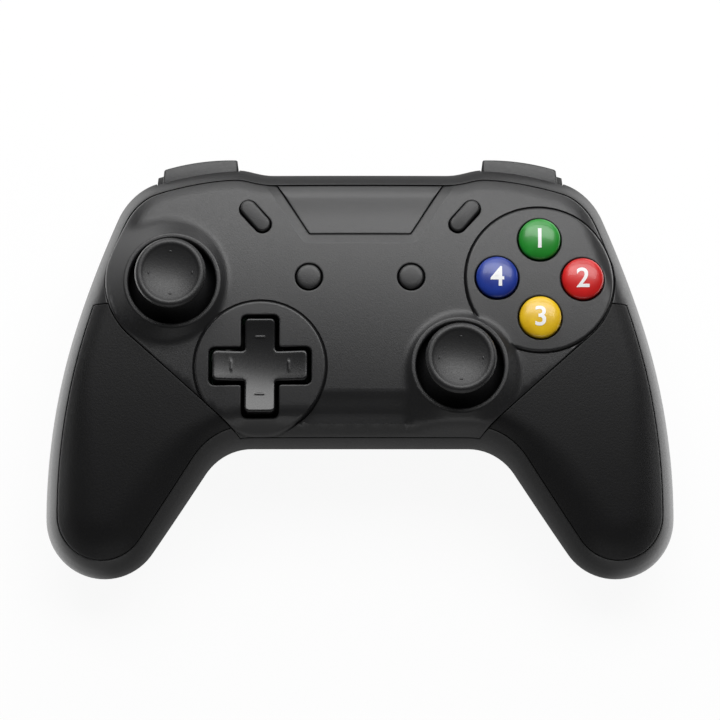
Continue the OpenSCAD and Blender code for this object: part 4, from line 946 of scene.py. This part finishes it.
# Slanted menu buttons
for side, s in (("left", -1), ("right", 1)):
    top = crownAt((s * face["slant"][0], face["slant"][1])) + small["rise"]
    mesh = prism(slantLoop(1, 0), small["flangeZ"] + small["slantFoot"], top, small["edgeR"])
    if s < 0:
        mesh = otherSide(mesh)
    name = side + "_slant_button"
    join(mesh, solidBehind(name, (0, 0, small["flangeZ"] + button["flangeT"] + 0.1), (0, 0, 1)))
    place(toObject(mesh, side + "_slant_cap", "shell"), name, "button_black", name)
print("menu buttons made")

# D-pad: a dished cross with a raised dash on each arm
cross = dict(
    long=23.1, wide=7.4, cornerR=1.1, lowTop=37.4, dishR=50, edgeR=0.5, spacing=0.6, deep=5.5, stemTop=32.1,
    dashAt=7.0, dashHalf=1.4, dashCore=1.0, dashWide=0.5, dashFlat=0.1, dashHigh=0.08)
dashRings = (-0.5, -0.25, 0, 0.25, 0.5)
crossRing = crossLoop(face["cross"], cross["long"], cross["wide"], cross["cornerR"])


def crossTop(points):
    r = np.linalg.norm(points - face["cross"], axis=1)
    z = cross["lowTop"] + r * r / (2 * cross["dishR"])
    off = np.abs(points - face["cross"])
    along, across = off.max(1), off.min(1)
    ridge = ease(cross["dashWide"], cross["dashFlat"], np.abs(along - cross["dashAt"]))
    ridge = ridge * ease(cross["dashHalf"], cross["dashCore"], across)
    return z + cross["dashHigh"] * ridge - roundedEdge(loopDistance(points, crossRing, 1.0), cross["edgeR"])


rings = [inset(crossRing, s) for s in edgeSteps]
for turn in range(4):
    c, s = heading(90 * turn)
    for k in dashRings:
        x = cross["dashAt"] + k
        line = np.array([[x - 0.02, -1.5], [x + 0.02, -1.5], [x + 0.02, 1.5], [x - 0.02, 1.5]])
        rings.append(resample(line, 0.4) @ np.array([[c, s], [-s, c]]) + face["cross"])
reachOut = cross["long"] / 2 + 1
crossBox = (*(np.array(face["cross"]) - reachOut), *(np.array(face["cross"]) + reachOut))
mesh = drape(rings, lambda p: isInside(p, crossRing), crossTop, cross["spacing"], crossBox)
thicken(mesh, cross["deep"])
join(mesh, solidBehind("dpad", (0, 0, cross["stemTop"]), (0, 0, 1)))
place(toObject(mesh, "dpad_cross", "gloss"), "dpad", "button_black", "dpad")
print("D-pad made")

# Bumpers: a curved bar with rounded edges, on the lever of the solid, and past each bar's end a low near-black
# block as painted shade of the gap there
bar = dict(
    x0=30.4, long=18.2, r=56, crestX=1.6, innerY=43.2, flare=0.5, low=19, high=29.2, edgeR=0.8, overY=1.7,
    shadeTab=1.7, tabTop=24, tabUnder=0.5, tabDrop=0.3, tabEdgeR=0.3, stemIn=0.6)


def barLoop(x0, x1, overY):
    shoulderY = body["topY"] + body["shoulderRise"]
    x = np.linspace(x1, x0, 40)
    middle = (bar["x0"] + bar["crestX"], shoulderY + overY - bar["r"])
    y = middle[1] + np.sqrt(bar["r"] ** 2 - (x - middle[0]) ** 2)
    return np.vstack([[[x0, bar["innerY"]], [x1 + bar["flare"], bar["innerY"]]], np.stack([x, y], 1)])


for side, s in (("left", -1), ("right", 1)):
    end = bar["x0"] + bar["long"]
    mesh = prism(barLoop(bar["x0"], end, bar["overY"]), bar["low"], bar["high"], bar["edgeR"], True)
    # The low block past the bar's end wears the near-black inner finish: painted shade standing for the dark
    # gap at the bumper's end
    shadeTabLoop = barLoop(end - bar["tabUnder"], end + bar["shadeTab"], bar["overY"] - bar["tabDrop"])
    shadeTab = prism(shadeTabLoop, bar["low"], bar["tabTop"], bar["tabEdgeR"], True)
    join(mesh, solidBehind("right_bumper", (bar["x0"] + bar["stemIn"], 0, 0), (1, 0, 0)))
    if s < 0:
        mesh, shadeTab = otherSide(mesh), otherSide(shadeTab)
    name = side + "_bumper"
    place(toObject(mesh, side + "_bumper_bar", "shell"), name, "button_black", name)
    place(toObject(shadeTab, side + "_bumper_shade_tab", "inner"), name, "button_black")

# Triggers: a hooked finger lever, its profile drawn in Y and Z and pushed out along X
lever = dict(
    pivot=(38.5, 16.5), bossR=3, top=18.3, outC=(41.9, 10.6), outR=10, outEnd=-50,
    tipC=(46.9, 3.3), tipR=1.5, tipTurn=(-45, -165), hookC=(37.5, 6.5), hookR=8.6, hookTurn=(-18, 43),
    x0=29, wide=17, edgeR=1.1, slotR=3.1, slotX=(35.36, 39.64))


def leverLoop():
    rise = lever["top"] - lever["pivot"][1]
    up = math.degrees(math.asin((lever["top"] - lever["outC"][1]) / lever["outR"]))
    return np.vstack([
        arc(lever["pivot"], lever["bossR"], 270, math.degrees(math.asin(rise / lever["bossR"])), 20),
        arc(lever["outC"], lever["outR"], up, lever["outEnd"], 40),
        arc(lever["tipC"], lever["tipR"], *lever["tipTurn"], 10),
        arc(lever["hookC"], lever["hookR"], *lever["hookTurn"], 24)])


# The return spring sits round the pin in a slot of the lever's boss
def springSlot():
    mesh = bmesh.new()
    a, b = lever["slotX"]
    r = lever["slotR"] * mm
    bmesh.ops.create_cone(mesh, cap_ends=True, segments=64, radius1=r, radius2=r, depth=(b - a) * mm)
    bmesh.ops.rotate(mesh, cent=(0, 0, 0), matrix=Matrix.Rotation(math.pi / 2, 3, "Y"), verts=mesh.verts)
    bmesh.ops.translate(mesh, vec=Vector(((a + b) / 2, *lever["pivot"])) * mm, verts=mesh.verts)
    return mesh


for side, s in (("left", -1), ("right", 1)):
    mesh = prism(leverLoop(), 0, lever["wide"], lever["edgeR"], True)
    for v in mesh.verts:
        v.co = Vector((lever["x0"] * mm + v.co.z, v.co.x, v.co.y))
    bmesh.ops.recalc_face_normals(mesh, faces=mesh.faces)
    slot = springSlot()
    if s < 0:
        mesh, slot = otherSide(mesh), otherSide(slot)
    piece = toObject(mesh, side + "_trigger_lever", "satin")
    cutter = toObject(slot, "spring_slot", "satin")
    cut = piece.modifiers.new("slot", "BOOLEAN")
    cut.object = cutter
    cut.operation = "DIFFERENCE"
    freeze(piece)
    bpy.data.objects.remove(cutter)
    name = side + "_trigger"
    place(piece, name, "button_black", name)
print("bumpers and triggers made")

# The other solids keep their shapes and take a finish
finishOf = {
    "steel": ["case_screws", "board_screws", "usb_c_port", "dpad_ball"],
    "inner": ["dpad_post"],
    "pad": ["dpad_pad", "face_button_pad", "menu_pad"],
    "board": ["main_board"],
    "wrap": ["battery"],
}
pairFinishOf = {
    "steel": ["stick_housing", "trigger_pin", "trigger_spring", "bumper_pin", "rumble_motor"],
    "inner": ["gimbal_ring", "gimbal_hub", "bracket", "bumper_switch"],
    "weight": ["rumble_weight"],
}
for finish, names in pairFinishOf.items():
    both = [side + "_" + name for name in names for side in ("left", "right")]
    finishOf[finish] = finishOf.get(finish, []) + both
for finish, names in finishOf.items():
    for name in names:
        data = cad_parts[name].data
        data.materials.clear()
        data.materials.append(finishes[finish])
print("solids finished")

# Camera, lamps and floor
shot = dict(target=(0, -1.7, 38), elevation=78.5, distance=900, lens=185)
tilt = math.radians(shot["elevation"])
aim = Vector(shot["target"]) * mm
eye = aim + Vector((0, -math.cos(tilt), math.sin(tilt))) * shot["distance"] * mm
camera = bpy.data.objects.new("camera", bpy.data.cameras.new("camera"))
camera.data.lens = shot["lens"]
camera.data.sensor_width = 36
camera.location = eye
camera.rotation_euler = (aim - eye).to_track_quat("-Z", "Y").to_euler()
bpy.context.scene.collection.objects.link(camera)
bpy.context.scene.camera = camera

lamps = {
    "top": dict(at=(60, 370, 640), size=(900, 350), power=6.0),
    "slope": dict(at=(0, 640, 400), size=(1000, 240), power=2.1),
    "back": dict(at=(0, 760, 150), size=(900, 220), power=0.5),
    "front": dict(at=(0, -620, 120), size=(500, 160), power=0.45),
}
for name, lamp in lamps.items():
    data = bpy.data.lights.new(name, "AREA")
    data.shape = "RECTANGLE"
    data.size, data.size_y = (v * mm for v in lamp["size"])
    data.energy = lamp["power"]
    light = bpy.data.objects.new(name, data)
    light.location = Vector(lamp["at"]) * mm
    light.rotation_euler = (Vector((0, 0, 25)) * mm - light.location).to_track_quat("-Z", "Y").to_euler()
    bpy.context.scene.collection.objects.link(light)

world = bpy.data.worlds.new("studio")
bpy.context.scene.world = world
world.use_nodes = True
tree = world.node_tree
sky = tree.nodes["Background"]
rays = addNode(tree, "ShaderNodeLightPath")
level = addNode(tree, "ShaderNodeMapRange", {
    "Value": rays.outputs["Is Camera Ray"], "To Min": 0.1, "To Max": 1.0})
tree.links.new(level.outputs["Result"], sky.inputs["Strength"])
sky.inputs["Color"].default_value = linear("#ffffff")

# The floor is white to the camera. To the plastic's gloss it glows as painted reflection light, bright beside
# the handles and weaker in front of them, and dim elsewhere as painted shade under and between the handles
paper = dict(dim=0.27, bright=2.8, sideX=(60, 100), frontY=(-100, -50), frontShare=0.1, share=0.93, low=0.2)
floorMesh = bmesh.new()
bmesh.ops.create_grid(floorMesh, x_segments=1, y_segments=1, size=6)
floor = toObject(floorMesh, "floor", "white")
material, tree, shader, where = newMaterial("pale_floor_painted_glow")
shader.inputs["Base Color"].default_value = linear("#f4f4f4")
shader.inputs["Roughness"].default_value = 0.9
rays = addNode(tree, "ShaderNodeLightPath")
across = addNode(tree, "ShaderNodeSeparateXYZ", {"Vector": where})
away = addNode(tree, "ShaderNodeMath", {0: across.outputs["X"]}, operation="ABSOLUTE")
lit = addNode(tree, "ShaderNodeMapRange", {
    "Value": away.outputs["Value"], "From Min": paper["sideX"][0] * mm, "From Max": paper["sideX"][1] * mm,
    "To Min": 0.0, "To Max": paper["bright"]})
beyond = addNode(tree, "ShaderNodeMapRange", {
    "Value": across.outputs["Y"], "From Min": paper["frontY"][0] * mm, "From Max": paper["frontY"][1] * mm,
    "To Min": paper["frontShare"], "To Max": 1.0})
# The glow that the gloss sees, set by position: painted reflection light beside the handles, painted shade
# near the middle and in front
sheen = addNode(tree, "ShaderNodeMath", {
    0: lit.outputs["Result"], 1: beyond.outputs["Result"], 2: paper["dim"]}, operation="MULTIPLY_ADD")
level = addNode(tree, "ShaderNodeMix", {
    "Factor": rays.outputs["Is Glossy Ray"], "A": 1.0, "B": sheen.outputs["Value"]})
glow = addNode(tree, "ShaderNodeEmission", {
    "Color": linear("#ffffff"), "Strength": level.outputs["Result"]})
seen = addNode(tree, "ShaderNodeMath", {
    0: rays.outputs["Is Camera Ray"], 1: rays.outputs["Is Glossy Ray"]}, operation="ADD", use_clamp=True)
share = addNode(tree, "ShaderNodeMath", {0: seen.outputs["Value"], 1: paper["share"]}, operation="MULTIPLY")
mix = addNode(tree, "ShaderNodeMixShader", {
    "Fac": share.outputs["Value"], 1: shader.outputs["BSDF"], 2: glow.outputs["Emission"]})
tree.links.new(mix.outputs["Shader"], tree.nodes["Material Output"].inputs["Surface"])
floor.data.materials.clear()
floor.data.materials.append(material)
floor.location.z = -paper["low"] * mm
bpy.context.scene.view_settings.view_transform = "Standard"
print("stage set")
